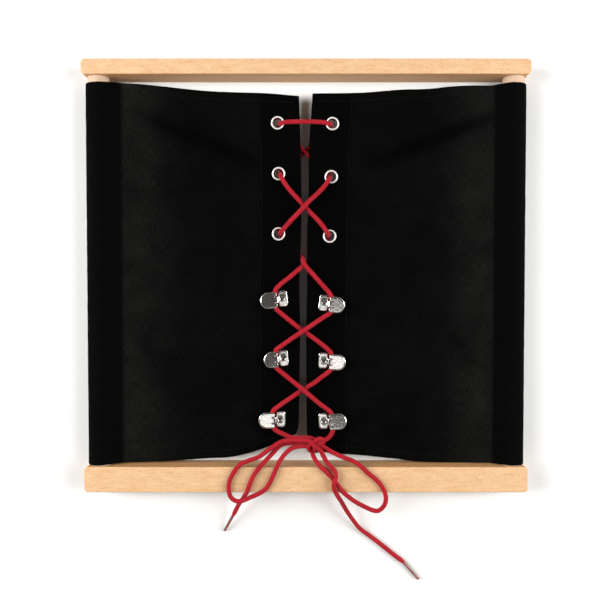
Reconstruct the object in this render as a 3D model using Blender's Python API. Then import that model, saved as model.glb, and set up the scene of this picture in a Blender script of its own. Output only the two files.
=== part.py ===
"""A lacing frame: two beech rails on two dowels, two black cotton flaps and one red lace tied in a bow.

It lies on its back. X runs along the rails, Y up the frame and Z out of its front.
Lengths are in metres. The origin is below the middle of the frame, on the surface it lies on.
"""

import math

import bmesh
import bpy
import numpy as np
from mathutils import Matrix, Vector

# Sizes of the wooden frame.
RAIL_LENGTH = 0.310
RAIL_DEPTH = 0.020
TOP_RAIL_WIDTH = 0.0106
BOTTOM_RAIL_WIDTH = 0.0179
RAIL_SPACING = 0.272
RAIL_CORNER_RADIUS = 0.0025
RAIL_EDGE_RADIUS = 0.0008
DOWEL_DIAMETER = 0.015
DOWEL_INSET = 0.0095
DOWEL_CHAMFER = 0.0008
TOP_SOCKET_DEPTH = 0.007
BOTTOM_SOCKET_DEPTH = 0.010

# Space left between pieces that touch, and how far a cutter runs past what it cuts.
SEAT_GAP = 0.0003
OVERRUN = 0.002

# Sizes of the flaps. The gap between them lies a little left of the middle.
CLOTH = 0.0008
SLEEVE_TO_BOTTOM_RAIL = 0.0005
SLEEVE_TO_TOP_RAIL = 0.0028
SLEEVE_WAVE = 0.0003
SLEEVE_WAVE_RADIANS = 37
SEAM_SETBACKS = {"left": 0.0174, "right": 0.0142}
GAP_OFFSET = -0.0015
GAP_WIDTH = 0.0054
FACING_WIDTH = 0.0297
HEM_WIDTH = 0.0075
FOLD_STEP = 0.0008
CLOTH_SAG = 0.0011

# The flaps' edges aren't straight. Each has the most that it wanders and the course that it takes, in
# pairs: where along the edge, and what share of the most. Along a top or bottom edge, 0 is the dowel's
# axis and 1 the gap. Along a gap edge, 0 is the lower end and 1 the upper.
TOP_DROPS = {"left": 0.0102, "right": 0.0083}
TOP_DROP_SHARES = {
    "left": ((0, 0), (0.05, 0.06), (0.25, 0.27), (0.4, 0.47), (0.53, 0.66), (0.7, 0.79), (1, 1)),
    "right": ((0, 0), (0.12, 0.3), (0.21, 0.28), (0.31, 0.37), (0.55, 0.64), (0.75, 0.93), (1, 1)),
}
BOTTOM_RISES = {"left": 0.021, "right": 0.0101}
BOTTOM_RISE_SHARES = {
    "left": ((0, 0), (0.1, 0.02), (0.35, 0.11), (0.67, 0.28), (0.76, 0.4), (0.85, 0.57), (1, 1)),
    "right": ((0, 0), (0.1, 0.01), (0.35, 0.13), (0.63, 0.41), (0.78, 0.6), (0.87, 0.65), (1, 1)),
}
GAP_EDGE_WANDERS = {"left": 0.0008, "right": 0.0034}
GAP_EDGE_SHARES = {
    "left": ((0, -1), (0.1, -0.9), (0.31, 0), (0.47, -0.6), (0.6, 0.9), (0.84, 0.6), (1, -0.9)),
    "right": ((0, 0.15), (0.31, 0.3), (0.47, 0.12), (0.6, 0.12), (0.72, -0.18), (0.84, -0.24), (1, -1)),
}

# The soft folds that the lacing draws in the cloth: their ends, as shares across and up a flap.
FOLD_HEIGHT = 0.0013
FOLD_REACH = 0.008
FOLD_SHARES = {
    "left": (((0.22, 0.9), (0.8, 0.78), 1), ((0.2, 0.2), (0.74, 0.42), 0.45)),
    "right": (((0.14, 0.9), (0.6, 0.81), 1), ((0.18, 0.24), (0.72, 0.36), 0.45)),
}

# The eyelets and the hooks: where they sit, and their sizes.
EYELET_SETBACK = 0.0159
EYELET_HEIGHT_SHARES = {"left": (0.894, 0.762, 0.605), "right": (0.892, 0.754, 0.599)}
EYELET_DIAMETER = 0.0095
EYELET_BORE = 0.0055
EYELET_WALL = 0.0004
EYELET_CROWN = 0.0011
EYELET_ROLL = 0.0008
EYELET_RIM_SHARE = 0.45
EYELET_MOUTH_SHARE = 0.55
EYELET_HEAD_SHARES = ((0.35, 1), (0.7, 0.92))
ROLL_LIP_SHARE = 1 / 3
ROLL_SHARES = ((1, 1), (1.5, 0.5), (1, 0))
WASHER_THICKNESS = 0.0005
WASHER_DIAMETER = 0.0100
HOOK_SETBACKS = {"left": (0.0084, 0.0084, 0.0098), "right": (0.0086, 0.0088, 0.0086)}
HOOK_HEIGHT_SHARES = {"left": (0.437, 0.28, 0.117), "right": (0.426, 0.273, 0.1115)}
HOOK_TURNS = {"left": (6, 5, 0), "right": (7, 3, -3)}
HOOK_LENGTH = 0.0192
HOOK_WIDTH = 0.0122
HOOK_METAL = 0.0008
HOOK_PLATE_LENGTH = 0.0104
HOOK_PLATE_WIDTH = 0.0116
HOOK_PLATE_RADIUS = 0.0024
HOOK_RIVET_PLACE = 0.0036
HOOK_RIVET_DIAMETER = 0.0036
HOOK_RIVET_BORE = 0.0026
HOOK_RIVET_ROLL = 0.0007
HOOK_NECK_METAL = 0.00075
HOOK_NECK_PLACE = 0.0066
HOOK_BEND_RADIUS = 0.0008
HOOK_NECK_WIDTH = 0.0042
HOOK_SHOULDER_SETBACK = 0.0003
HOOK_SHOULDER_RADIUS = 0.0016
HOOK_CROWN = 0.0006
HOOK_WASHER_DIAMETER = 0.0078

# The lace.
LACE_DIAMETER = 0.003
LACE_SLACK = 0.0004
AGLET_LENGTH = 0.0165
AGLET_DIAMETER = 0.0024
AGLET_TIP_DIAMETER = 0.002
AGLET_TAPER_SHARE = 0.9
KNOT_PLACE = (0.0080, -0.1173)
KNOT_RADIUS = 0.0039
KNOT_FLATNESS_SHARE = 0.77
KNOT_TURNS = 2
KNOT_PITCH = 0.0036
KNOT_CLEARANCE = 0.0017

# The lace's turns. At an eyelet: the distance from its axis over its bore's radius, and the height over
# that of a lace on its rim. At the gap: shares of half the gap and of the lace's diameter. At a hook:
# the way back from the channel and the way along it in lace diameters, and the height over the channel's.
EYELET_FRONT_SHARES = ((2.05, 1), (1.1, 1.02), (0.58, 0.68), (0.26, 0.12), (0, -0.48))
EYELET_BACK_SHARES = ((0.26, 0.58), (0.58, 0.86), (1.1, 1.03), (2.05, 1.03))
GAP_PASSAGE_SHARES = (
    (0.78, 0.57, -1.17),
    (0.22, 0.27, -0.8),
    (0, 0, -0.17),
    (-0.22, -0.27, 0.5),
    (-0.85, -0.63, 0.87),
)
GAP_PASSAGE_HEIGHT_SHARES = {"right": 0.5155, "left": 0.539}
HOOK_PASSAGE_SHARES = (
    (0.2, -2.1, 1),
    (0.04, -1.6, 1),
    (0, -0.8, 1),
    (0, 0.8, 1),
    (0.04, 1.6, 1),
    (0.2, 2.1, 1),
)

# The lace's ways into the knot, and its free lengths, as points chosen along them.
LACE_TO_KNOT = {
    "left": [
        (-0.0223, -0.1069, 0.0134),
        (-0.0155, -0.1107, 0.0127),
        (-0.0099, -0.1130, 0.0126),
        (-0.0021, -0.1134, 0.0128),
        (0.0026, -0.1133, 0.0130),
    ],
    "right": [
        (0.0188, -0.1067, 0.0133),
        (0.0176, -0.1090, 0.0128),
        (0.0154, -0.1110, 0.0129),
        (0.0136, -0.1121, 0.0132),
        (0.0127, -0.1133, 0.0135),
    ],
}
LEFT_LOOP = [
    (0.0032, -0.1146, 0.0168),
    (-0.0040, -0.1143, 0.0167),
    (-0.0097, -0.1141, 0.0164),
    (-0.0174, -0.1155, 0.0160),
    (-0.0250, -0.1200, 0.0176),
    (-0.0327, -0.1251, 0.0195),
    (-0.0403, -0.1277, 0.0208),
    (-0.0454, -0.1298, 0.0215),
    (-0.0501, -0.1354, 0.0218),
    (-0.0531, -0.1416, 0.0218),
    (-0.0538, -0.1478, 0.0218),
    (-0.0522, -0.1529, 0.0219),
    (-0.0481, -0.1555, 0.0224),
    (-0.0429, -0.1546, 0.0229),
    (-0.0378, -0.1524, 0.0225),
    (-0.0327, -0.1503, 0.0220),
    (-0.0281, -0.1472, 0.0218),
    (-0.0251, -0.1426, 0.0218),
    (-0.0230, -0.1380, 0.0218),
    (-0.0209, -0.1333, 0.0219),
    (-0.0196, -0.1305, 0.0217),
    (-0.0182, -0.1279, 0.0208),
    (-0.0143, -0.1231, 0.0186),
    (-0.0097, -0.1196, 0.0173),
    (-0.0046, -0.1184, 0.0170),
    (0.0020, -0.1182, 0.0170),
]
LEFT_END = [
    (0.0024, -0.1170, 0.0136),
    (-0.0040, -0.1170, 0.0131),
    (-0.0097, -0.1169, 0.0128),
    (-0.0174, -0.1183, 0.0130),
    (-0.0229, -0.1231, 0.0154),
    (-0.0286, -0.1282, 0.0207),
    (-0.0310, -0.1306, 0.0217),
    (-0.0331, -0.1328, 0.0220),
    (-0.0367, -0.1383, 0.0218),
    (-0.0393, -0.1442, 0.0218),
    (-0.0413, -0.1498, 0.0219),
    (-0.0425, -0.1516, 0.0211),
    (-0.0434, -0.1533, 0.0194),
    (-0.0443, -0.1553, 0.0176),
    (-0.0464, -0.1584, 0.0154),
    (-0.0484, -0.1622, 0.0129),
    (-0.0506, -0.1670, 0.0100),
    (-0.0521, -0.1701, 0.0080),
]
RIGHT_LOOP = [
    (0.0138, -0.1200, 0.0160),
    (0.0160, -0.1214, 0.0164),
    (0.0195, -0.1231, 0.0172),
    (0.0246, -0.1251, 0.0186),
    (0.0323, -0.1277, 0.0207),
    (0.0374, -0.1306, 0.0219),
    (0.0430, -0.1359, 0.0219),
    (0.0491, -0.1410, 0.0218),
    (0.0531, -0.1460, 0.0218),
    (0.0553, -0.1513, 0.0220),
    (0.0554, -0.1567, 0.0210),
    (0.0534, -0.1612, 0.0193),
    (0.0504, -0.1635, 0.0186),
    (0.0469, -0.1632, 0.0185),
    (0.0417, -0.1608, 0.0190),
    (0.0349, -0.1567, 0.0208),
    (0.0297, -0.1527, 0.0220),
    (0.0246, -0.1480, 0.0219),
    (0.0220, -0.1444, 0.0218),
    (0.0195, -0.1410, 0.0218),
    (0.0174, -0.1385, 0.0218),
    (0.0134, -0.1344, 0.0219),
    (0.0096, -0.1310, 0.0219),
    (0.0070, -0.1278, 0.0203),
    (0.0050, -0.1248, 0.0170),
    (0.0042, -0.1222, 0.0140),
]
RIGHT_END = [
    (0.0112, -0.1238, 0.0150),
    (0.0126, -0.1260, 0.0178),
    (0.0146, -0.1287, 0.0207),
    (0.0174, -0.1316, 0.0221),
    (0.0202, -0.1350, 0.0228),
    (0.0207, -0.1386, 0.0241),
    (0.0194, -0.1420, 0.0252),
    (0.0192, -0.1453, 0.0242),
    (0.0215, -0.1512, 0.0216),
    (0.0249, -0.1578, 0.0170),
    (0.0293, -0.1666, 0.0110),
    (0.0344, -0.1752, 0.0060),
    (0.0389, -0.1814, 0.0033),
    (0.0427, -0.1847, 0.0022),
    (0.0485, -0.1891, 0.0018),
    (0.0564, -0.1953, 0.0018),
    (0.0647, -0.2020, 0.0018),
    (0.0711, -0.2068, 0.0018),
]
AGLET_WAYS = {
    "left": ((-0.0523, -0.1706, 0.0077), (-0.0592, -0.1838, 0.0014)),
    "right": ((0.0715, -0.2072, 0.0017), (0.0819, -0.2193, 0.0015)),
}

# Colours, as red, green and blue, with roughness and how metallic each is.
BEECH = ((0.87, 0.64, 0.40), 0.55, 0.0)
DOWEL_BEECH = ((0.80, 0.55, 0.36), 0.5, 0.0)
COTTON = ((0.006, 0.006, 0.007), 0.9, 0.0)
NICKEL = ((0.72, 0.71, 0.69), 0.22, 1.0)
LACE_RED = ((0.56, 0.012, 0.03), 0.7, 0.0)
AGLET_FILM = ((0.36, 0.10, 0.10), 0.25, 0.0)

# Places that follow from the sizes.
FRAME_HEIGHT = TOP_RAIL_WIDTH + RAIL_SPACING + BOTTOM_RAIL_WIDTH
TOP_RAIL_INNER = FRAME_HEIGHT / 2 - TOP_RAIL_WIDTH
BOTTOM_RAIL_INNER = BOTTOM_RAIL_WIDTH - FRAME_HEIGHT / 2
AXIS_X = RAIL_LENGTH / 2 - DOWEL_INSET
AXIS_Z = RAIL_DEPTH / 2
SLEEVE_BOTTOM = BOTTOM_RAIL_INNER + SLEEVE_TO_BOTTOM_RAIL
SLEEVE_LENGTH = RAIL_SPACING - SLEEVE_TO_BOTTOM_RAIL - SLEEVE_TO_TOP_RAIL
CLOTH_FRONT = AXIS_Z + CLOTH / 2
FACING_BACK = CLOTH_FRONT - 2 * CLOTH
LACE_RADIUS = LACE_DIAMETER / 2
SIDES = {"left": -1, "right": 1}
LEVELS = (1, 2, 3)


def clear_scene():
    for thing in list(bpy.data.objects):
        bpy.data.objects.remove(thing, do_unlink=True)


def material(name, finish):
    colour, roughness, metallic = finish
    made = bpy.data.materials.new(name)
    made.use_nodes = True
    shader = made.node_tree.nodes["Principled BSDF"]
    shader.inputs["Base Color"].default_value = (*colour, 1)
    shader.inputs["Roughness"].default_value = roughness
    shader.inputs["Metallic"].default_value = metallic
    return made


def add_object(name, data, finish, parent, place=(0, 0, 0), turn=0):
    """Puts data into the scene as one named piece, at a place in the frame's own coordinates."""
    piece = bpy.data.objects.new(name, data)
    bpy.context.collection.objects.link(piece)
    if finish and not data.materials:
        data.materials.append(finish)
    if parent:
        piece.parent = parent
        place = Vector(place) - parent.location
    piece.location = place
    piece.rotation_euler.z = turn
    return piece


def to_mesh(name, shape):
    bmesh.ops.recalc_face_normals(shape, faces=shape.faces)
    data = bpy.data.meshes.new(name)
    shape.to_mesh(data)
    shape.free()
    data.shade_smooth()
    data.set_sharp_from_angle(angle=math.radians(40))
    return data


def hide_cutter(cutter):
    cutter.hide_render = True
    cutter.display_type = "WIRE"


def cut(piece, cutter, operation="DIFFERENCE"):
    change = piece.modifiers.new(operation.title(), "BOOLEAN")
    change.operation = operation
    change.object = cutter
    change.solver = "EXACT"
    hide_cutter(cutter)


def baked(piece):
    """The piece's mesh with its modifiers applied, which several objects can then share."""
    bpy.context.view_layer.update()
    graph = bpy.context.evaluated_depsgraph_get()
    return bpy.data.meshes.new_from_object(piece.evaluated_get(graph))


def spun(name, profile, segments):
    """A closed outline of (radius, height) points turned round the Z axis."""
    shape = bmesh.new()
    rings = []
    for step in range(segments):
        angle = 2 * math.pi * step / segments
        ring = [shape.verts.new((r * math.cos(angle), r * math.sin(angle), z)) for r, z in profile]
        rings.append(ring)
    for near, far in zip(rings, rings[1:] + rings[:1]):
        for i in range(len(profile)):
            j = (i + 1) % len(profile)
            shape.faces.new((near[i], far[i], far[j], near[j]))
    return to_mesh(name, shape)


def cylinder(name, radius, low, high, segments, place=(0, 0), along_y=False, chamfer=0):
    """A cylinder along Z or Y, with chamfered ends if asked."""
    shape = bmesh.new()
    ends = [(radius, low + chamfer), (radius, high - chamfer)]
    if chamfer:
        ends = [(radius - chamfer, low), *ends, (radius - chamfer, high)]
    rings = []
    for r, level in ends:
        ring = []
        for step in range(segments):
            angle = 2 * math.pi * step / segments
            across = place[0] + r * math.cos(angle)
            out = place[1] + r * math.sin(angle)
            ring.append(shape.verts.new((across, level, out) if along_y else (across, out, level)))
        rings.append(ring)
    for near, far in zip(rings, rings[1:]):
        for i in range(segments):
            j = (i + 1) % segments
            shape.faces.new((near[i], near[j], far[j], far[i]))
    shape.faces.new(rings[0])
    shape.faces.new(rings[-1])
    return to_mesh(name, shape)


def course(table, share):
    """The smooth course through a table of (share, value) points, at one share or several."""
    at = np.array([point[0] for point in table], float)
    value = np.array([point[1] for point in table], float)
    slope = np.gradient(value, at)
    share = np.clip(share, 0, 1)
    span = np.clip(np.searchsorted(at, share, side="right") - 1, 0, len(at) - 2)
    width = at[span + 1] - at[span]
    t = (share - at[span]) / width
    start = value[span] * (1 + 2 * t) * (1 - t) ** 2 + slope[span] * width * t * (1 - t) ** 2
    finish = value[span + 1] * (3 - 2 * t) * t**2 - slope[span + 1] * width * t**2 * (1 - t)
    return start + finish


# The rails and dowels.


def rail(name, finish, inner, width, outward, socket_depth):
    """One rail: a rounded bar with a blind hole for each dowel in its inner face."""
    shape = bmesh.new()
    size = Matrix.Diagonal((RAIL_LENGTH, width, RAIL_DEPTH, 1))
    middle = Matrix.Translation((0, inner + outward * width / 2, RAIL_DEPTH / 2))
    bmesh.ops.create_cube(shape, size=1, matrix=middle @ size)
    upright = [e for e in shape.edges if abs((e.verts[0].co - e.verts[1].co).z) > RAIL_DEPTH / 2]
    bmesh.ops.bevel(shape, geom=upright, offset=RAIL_CORNER_RADIUS, segments=4, affect="EDGES", profile=0.5)
    around = [e for e in shape.edges if abs((e.verts[0].co - e.verts[1].co).z) < RAIL_DEPTH / 2]
    bmesh.ops.bevel(shape, geom=around, offset=RAIL_EDGE_RADIUS, segments=2, affect="EDGES", profile=0.5)
    piece = add_object(name, to_mesh(name, shape), finish, None)
    for side, sign in SIDES.items():
        floor = inner + outward * socket_depth
        mouth = inner - outward * OVERRUN
        radius = DOWEL_DIAMETER / 2 + SEAT_GAP
        low, high = sorted((floor, mouth))
        drill = cylinder("drill", radius, low, high, 32, (sign * AXIS_X, AXIS_Z), True)
        cut(piece, add_object(f"{name}_{side}_drill", drill, None, None))
    return piece


def dowel(name, finish, sign):
    low = BOTTOM_RAIL_INNER - BOTTOM_SOCKET_DEPTH + SEAT_GAP
    high = TOP_RAIL_INNER + TOP_SOCKET_DEPTH - SEAT_GAP
    data = cylinder(name, DOWEL_DIAMETER / 2, low, high, 32, (0, 0), True, DOWEL_CHAMFER)
    return add_object(name, data, finish, None, (sign * AXIS_X, 0, AXIS_Z))


# The flaps of cloth.


def gap_edge(side, height_share):
    """Where a flap's free edge stands at a share of the sleeve's height."""
    nominal = GAP_OFFSET + SIDES[side] * GAP_WIDTH / 2
    inward = GAP_EDGE_WANDERS[side] * course(GAP_EDGE_SHARES[side], height_share)
    return nominal - SIDES[side] * inward


def cloth_point(side, away, height_share):
    """X and Y of a point of a flap, away from its gap edge and up its height."""
    sign = SIDES[side]
    x = gap_edge(side, height_share) + sign * away
    across = np.clip((AXIS_X - sign * x) / (AXIS_X - sign * gap_edge(side, height_share)), 0, 1)
    low = SLEEVE_BOTTOM + BOTTOM_RISES[side] * course(BOTTOM_RISE_SHARES[side], across)
    high = SLEEVE_BOTTOM + SLEEVE_LENGTH - TOP_DROPS[side] * course(TOP_DROP_SHARES[side], across)
    return x, low + (high - low) * height_share


def relief(side, x, y):
    """How far the cloth stands in front of its flat plane: soft folds, and a sag between the seams."""
    sign = SIDES[side]
    facing = GAP_OFFSET + sign * (GAP_WIDTH / 2 + FACING_WIDTH + FOLD_STEP)
    seam = sign * (AXIS_X - SEAM_SETBACKS[side])
    inside = min(max((x - facing) / (seam - facing), 0), 1)
    calm = math.sin(math.pi * inside)
    height = 0
    for (x0, y0), (x1, y1), strength in FOLD_SHARES[side]:
        start = Vector((sign * AXIS_X * (1 - x0), SLEEVE_BOTTOM + SLEEVE_LENGTH * y0))
        end = Vector((sign * AXIS_X * (1 - x1), SLEEVE_BOTTOM + SLEEVE_LENGTH * y1))
        run = end - start
        along = min(max((Vector((x, y)) - start).dot(run) / run.length_squared, 0), 1)
        off = (Vector((x, y)) - start - run * along).length
        height += strength * FOLD_HEIGHT * math.exp(-((off / FOLD_REACH) ** 2))
    return (height - CLOTH_SAG) * calm


def sleeve_pairs(side):
    """Outer and inner points of the sleeve's section, as (towards the gap, up) from the dowel's axis."""
    inner = DOWEL_DIAMETER / 2 + SEAT_GAP
    outer = inner + CLOTH
    seam = SEAM_SETBACKS[side]
    leave = math.acos(outer / seam)
    tip = (inner / math.cos(leave), 0)
    pairs = [((seam, CLOTH / 2), tip)]
    steps = 13
    for step in range(steps + 1):
        angle = leave + (2 * math.pi - 2 * leave) * step / steps
        way = (math.cos(angle), math.sin(angle))
        pairs.append(((outer * way[0], outer * way[1]), (inner * way[0], inner * way[1])))
    pairs.append(((seam, -CLOTH / 2), tip))
    return pairs


def height_shares():
    """Shares of a flap's height where its rows of points lie, with a step at each hem."""
    hem = HEM_WIDTH / SLEEVE_LENGTH
    step = FOLD_STEP / SLEEVE_LENGTH
    rows = 14
    low = hem + step
    inner = [low + (1 - 2 * low) * i / rows for i in range(rows + 1)]
    return [0, hem, *inner, 1 - hem, 1]


def flap_rings(side):
    """Rows of the flap's section: the front from gap to seam, round the sleeve, and back behind."""
    sign = SIDES[side]
    seam = sign * (AXIS_X - SEAM_SETBACKS[side])
    facing = [0, FACING_WIDTH / 2, FACING_WIDTH, FACING_WIDTH + FOLD_STEP]
    shares = height_shares()
    rings = []
    for row, up in enumerate(shares):
        hemmed = row < 2 or row > len(shares) - 3
        edge = gap_edge(side, up)
        reach = abs(seam - edge)
        spread = [facing[-1] + (reach - facing[-1]) * i / 6 for i in range(1, 7)]
        front, back, sleeve_out, sleeve_in = [], [], [], []
        for step, away in enumerate(facing + spread):
            x, y = cloth_point(side, away, up)
            z = AXIS_Z + relief(side, x, y)
            doubled = (step < 3 or hemmed) and step < len(facing + spread) - 2
            front.append((x, y, z + CLOTH / 2))
            back.append((x, y, z + CLOTH / 2 - (2 * CLOTH if doubled else CLOTH)))
        for (out_x, out_z), (in_x, in_z) in sleeve_pairs(side):
            x = sign * (AXIS_X - out_x)
            y = cloth_point(side, abs(x - edge), up)[1]
            wave = (1 + math.sin(up * SLEEVE_WAVE_RADIANS + sign)) / 2
            ripple = SLEEVE_WAVE * wave * max(-out_x, 0) / DOWEL_DIAMETER
            sleeve_out.append((x + sign * ripple, y, AXIS_Z + out_z))
            sleeve_in.append((sign * (AXIS_X - in_x), y, AXIS_Z + in_z))
        rings.append((front, back, sleeve_out[1:-1], sleeve_in))
    return rings


def flap(side, finish, parent):
    """A flap of cloth with its sleeve, as one closed body: hemmed, faced at the gap and pierced."""
    shape = bmesh.new()
    rows = []
    for front, back, sleeve_out, sleeve_in in flap_rings(side):
        outline = [shape.verts.new(p) for p in front + sleeve_out + back[::-1]]
        hollow = [shape.verts.new(p) for p in sleeve_in[:-1]]
        rows.append((outline, hollow, len(front)))
    for (near, near_in, _), (far, far_in, _) in zip(rows, rows[1:]):
        for loop, next_loop in ((near, far), (near_in[::-1], far_in[::-1])):
            for i in range(len(loop)):
                j = (i + 1) % len(loop)
                shape.faces.new((loop[i], loop[j], next_loop[j], next_loop[i]))
    for outline, hollow, count in (rows[0], rows[-1]):
        last = len(outline) - 1
        for i in range(count - 1):
            shape.faces.new((outline[i], outline[i + 1], outline[last - i - 1], outline[last - i]))
        around = outline[count - 1 : last - count + 2]
        ring = hollow + hollow[:1]
        for i in range(len(around) - 1):
            shape.faces.new((around[i], around[i + 1], ring[i + 1], ring[i]))
        shape.faces.new((around[0], hollow[0], around[-1]))
    name = f"{side}_flap_cloth"
    shape.transform(Matrix.Translation(-parent.location))
    piece = add_object(name, to_mesh(name, shape), finish, parent, parent.location)
    for level in LEVELS:
        x, y = eyelet_place(side, level)
        radius = EYELET_BORE / 2 + EYELET_WALL + SEAT_GAP
        punch(piece, f"{side}_eyelet_hole_{level}", radius, x, y)
        x, y, turn = hook_place(side, level)
        x += HOOK_RIVET_PLACE * math.cos(turn)
        y += HOOK_RIVET_PLACE * math.sin(turn)
        punch(piece, f"{side}_hook_hole_{level}", HOOK_RIVET_DIAMETER / 2 + SEAT_GAP, x, y)
    return piece


def punch(piece, name, radius, x, y):
    tool = cylinder(name, radius, FACING_BACK - OVERRUN, CLOTH_FRONT + OVERRUN, 16, (x, y))
    cut(piece, add_object(name, tool, None, None))


# The eyelets and hooks.


def eyelet_place(side, level):
    share = EYELET_HEIGHT_SHARES[side][level - 1]
    x = gap_edge(side, share) + SIDES[side] * EYELET_SETBACK
    return x, SLEEVE_BOTTOM + SLEEVE_LENGTH * share


def hook_place(side, level):
    """The middle of a hook's gap edge, and the way it points."""
    share = HOOK_HEIGHT_SHARES[side][level - 1]
    x = gap_edge(side, share) + SIDES[side] * HOOK_SETBACKS[side][level - 1]
    lean = math.radians(HOOK_TURNS[side][level - 1])
    turn = -lean if side == "right" else math.pi + lean
    return x, SLEEVE_BOTTOM + SLEEVE_LENGTH * share, turn


def rolled_tube(name, bore, wall, head, roll, segments):
    """A flanged tube whose end is rolled over behind a washer. Height 0 is the cloth's front."""
    outer = bore + wall
    behind = CLOTH_FRONT - FACING_BACK + WASHER_THICKNESS + 2 * SEAT_GAP
    lip = [(bore, -behind), (bore + roll * ROLL_LIP_SHARE, -behind - roll)]
    rolled = [(outer + roll * out, -behind - roll * back) for out, back in ROLL_SHARES]
    return spun(name, [*head, *lip, *rolled, (outer, -behind), (outer, SEAT_GAP)], segments)


def eyelet_mesh():
    rim = EYELET_DIAMETER / 2
    bore = EYELET_BORE / 2
    edge = EYELET_WALL / 3
    crown = [(rim - (rim - bore) * inward, EYELET_CROWN * up) for inward, up in EYELET_HEAD_SHARES]
    outside = [(rim, SEAT_GAP), (rim - edge, SEAT_GAP + EYELET_CROWN * EYELET_RIM_SHARE)]
    inside = [(bore + edge, EYELET_CROWN * EYELET_MOUTH_SHARE)]
    return rolled_tube("eyelet", bore, EYELET_WALL, outside + crown + inside, EYELET_ROLL, 16)


def washer_mesh(name, hole, outer, segments):
    top = FACING_BACK - CLOTH_FRONT - SEAT_GAP
    low = top - WASHER_THICKNESS
    edge = WASHER_THICKNESS / 3
    profile = [(hole, low), (outer - edge, low), (outer, low + edge), (outer, top), (hole, top)]
    return spun(name, profile, segments)


def lace_level():
    """Height of a lace's middle where it lies under a hook's tongue, over the cloth's front."""
    return SEAT_GAP + HOOK_METAL + SEAT_GAP + LACE_RADIUS


def neck_mesh():
    """The hook's neck: a strip that leaves the plate in a bend and stands up to the tongue."""
    root = SEAT_GAP + HOOK_METAL / 2
    bend = HOOK_BEND_RADIUS
    course = [(HOOK_NECK_PLACE - 2 * bend, root, 0)]
    bends = 3
    for step in range(bends + 1):
        angle = math.pi / 2 * step / bends
        along = HOOK_NECK_PLACE - bend * (1 - math.sin(angle))
        course.append((along, root + bend * (1 - math.cos(angle)), angle))
    course.append((HOOK_NECK_PLACE, tongue_level(), math.pi / 2))
    shape = bmesh.new()
    rings = []
    for along, height, angle in course:
        way = Vector((math.sin(angle), 0, -math.cos(angle))) * (HOOK_NECK_METAL / 2)
        side = Vector((0, HOOK_NECK_WIDTH / 2, 0))
        middle = Vector((along, 0, height))
        corners = (middle + way + side, middle + way - side, middle - way - side, middle - way + side)
        rings.append([shape.verts.new(corner) for corner in corners])
    for near, far in zip(rings, rings[1:]):
        for i in range(4):
            shape.faces.new((near[i], near[i - 1], far[i - 1], far[i]))
    shape.faces.new(rings[0])
    shape.faces.new(rings[-1])
    return to_mesh("hook_neck", shape)


def tongue_level():
    """Height of the middle of the tongue's metal, over the cloth's front."""
    return lace_level() + LACE_RADIUS + LACE_SLACK + HOOK_METAL / 2


def tongue_mesh():
    """The tongue: a pressed disc with a square end, whose shoulders reach back past the neck."""
    wide = HOOK_WIDTH / 2
    corner = HOOK_SHOULDER_RADIUS
    back = HOOK_NECK_PLACE - HOOK_NECK_METAL / 2 - HOOK_SHOULDER_SETBACK
    stations = []
    for step in range(3):
        angle = math.pi / 2 * step / 2
        stations.append((back + corner * (1 - math.cos(angle)), wide - corner * (1 - math.sin(angle))))
    rounds = 5
    for step in range(rounds):
        angle = math.pi / 2 * step / rounds
        stations.append((HOOK_LENGTH - wide * (1 - math.sin(angle)), wide * math.cos(angle)))
    shape = bmesh.new()
    rows = []
    shares = (-1, -0.5, 0, 0.5, 1)
    for along, half in stations:
        length_share = (along - back) / (HOOK_LENGTH - back)
        rise = HOOK_CROWN * math.sin(math.pi * length_share)
        row = []
        for share in shares:
            level = tongue_level() + rise * (1 - share**2)
            for lift in (HOOK_METAL / 2, -HOOK_METAL / 2):
                row.append(shape.verts.new((along, share * half, level + lift)))
        rows.append(row)
    faces = (tongue_level() + HOOK_METAL / 2, tongue_level() - HOOK_METAL / 2)
    tip = [shape.verts.new((HOOK_LENGTH, 0, level)) for level in faces]
    last = 2 * len(shares) - 2
    for near, far in zip(rows, rows[1:]):
        for i in range(0, last, 2):
            shape.faces.new((near[i], near[i + 2], far[i + 2], far[i]))
            shape.faces.new((near[i + 1], far[i + 1], far[i + 3], near[i + 3]))
        for i in (0, last):
            shape.faces.new((near[i], near[i + 1], far[i + 1], far[i]))
    for i in range(0, last, 2):
        shape.faces.new((rows[0][i], rows[0][i + 1], rows[0][i + 3], rows[0][i + 2]))
        shape.faces.new((rows[-1][i], rows[-1][i + 2], tip[0]))
        shape.faces.new((rows[-1][i + 1], rows[-1][i + 3], tip[1]))
    for i in (0, last):
        shape.faces.new((rows[-1][i], rows[-1][i + 1], tip[1], tip[0]))
    return to_mesh("hook_tongue", shape)


def plate_mesh():
    """The hook's plate: a rounded square flat on the cloth."""
    shape = bmesh.new()
    size = Matrix.Diagonal((HOOK_PLATE_LENGTH, HOOK_PLATE_WIDTH, HOOK_METAL, 1))
    middle = Matrix.Translation((HOOK_PLATE_LENGTH / 2, 0, SEAT_GAP + HOOK_METAL / 2))
    bmesh.ops.create_cube(shape, size=1, matrix=middle @ size)
    upright = [e for e in shape.edges if abs((e.verts[0].co - e.verts[1].co).z) > HOOK_METAL / 2]
    bmesh.ops.bevel(shape, geom=upright, offset=HOOK_PLATE_RADIUS, segments=3, affect="EDGES", profile=0.5)
    return to_mesh("hook_plate", shape)


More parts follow.
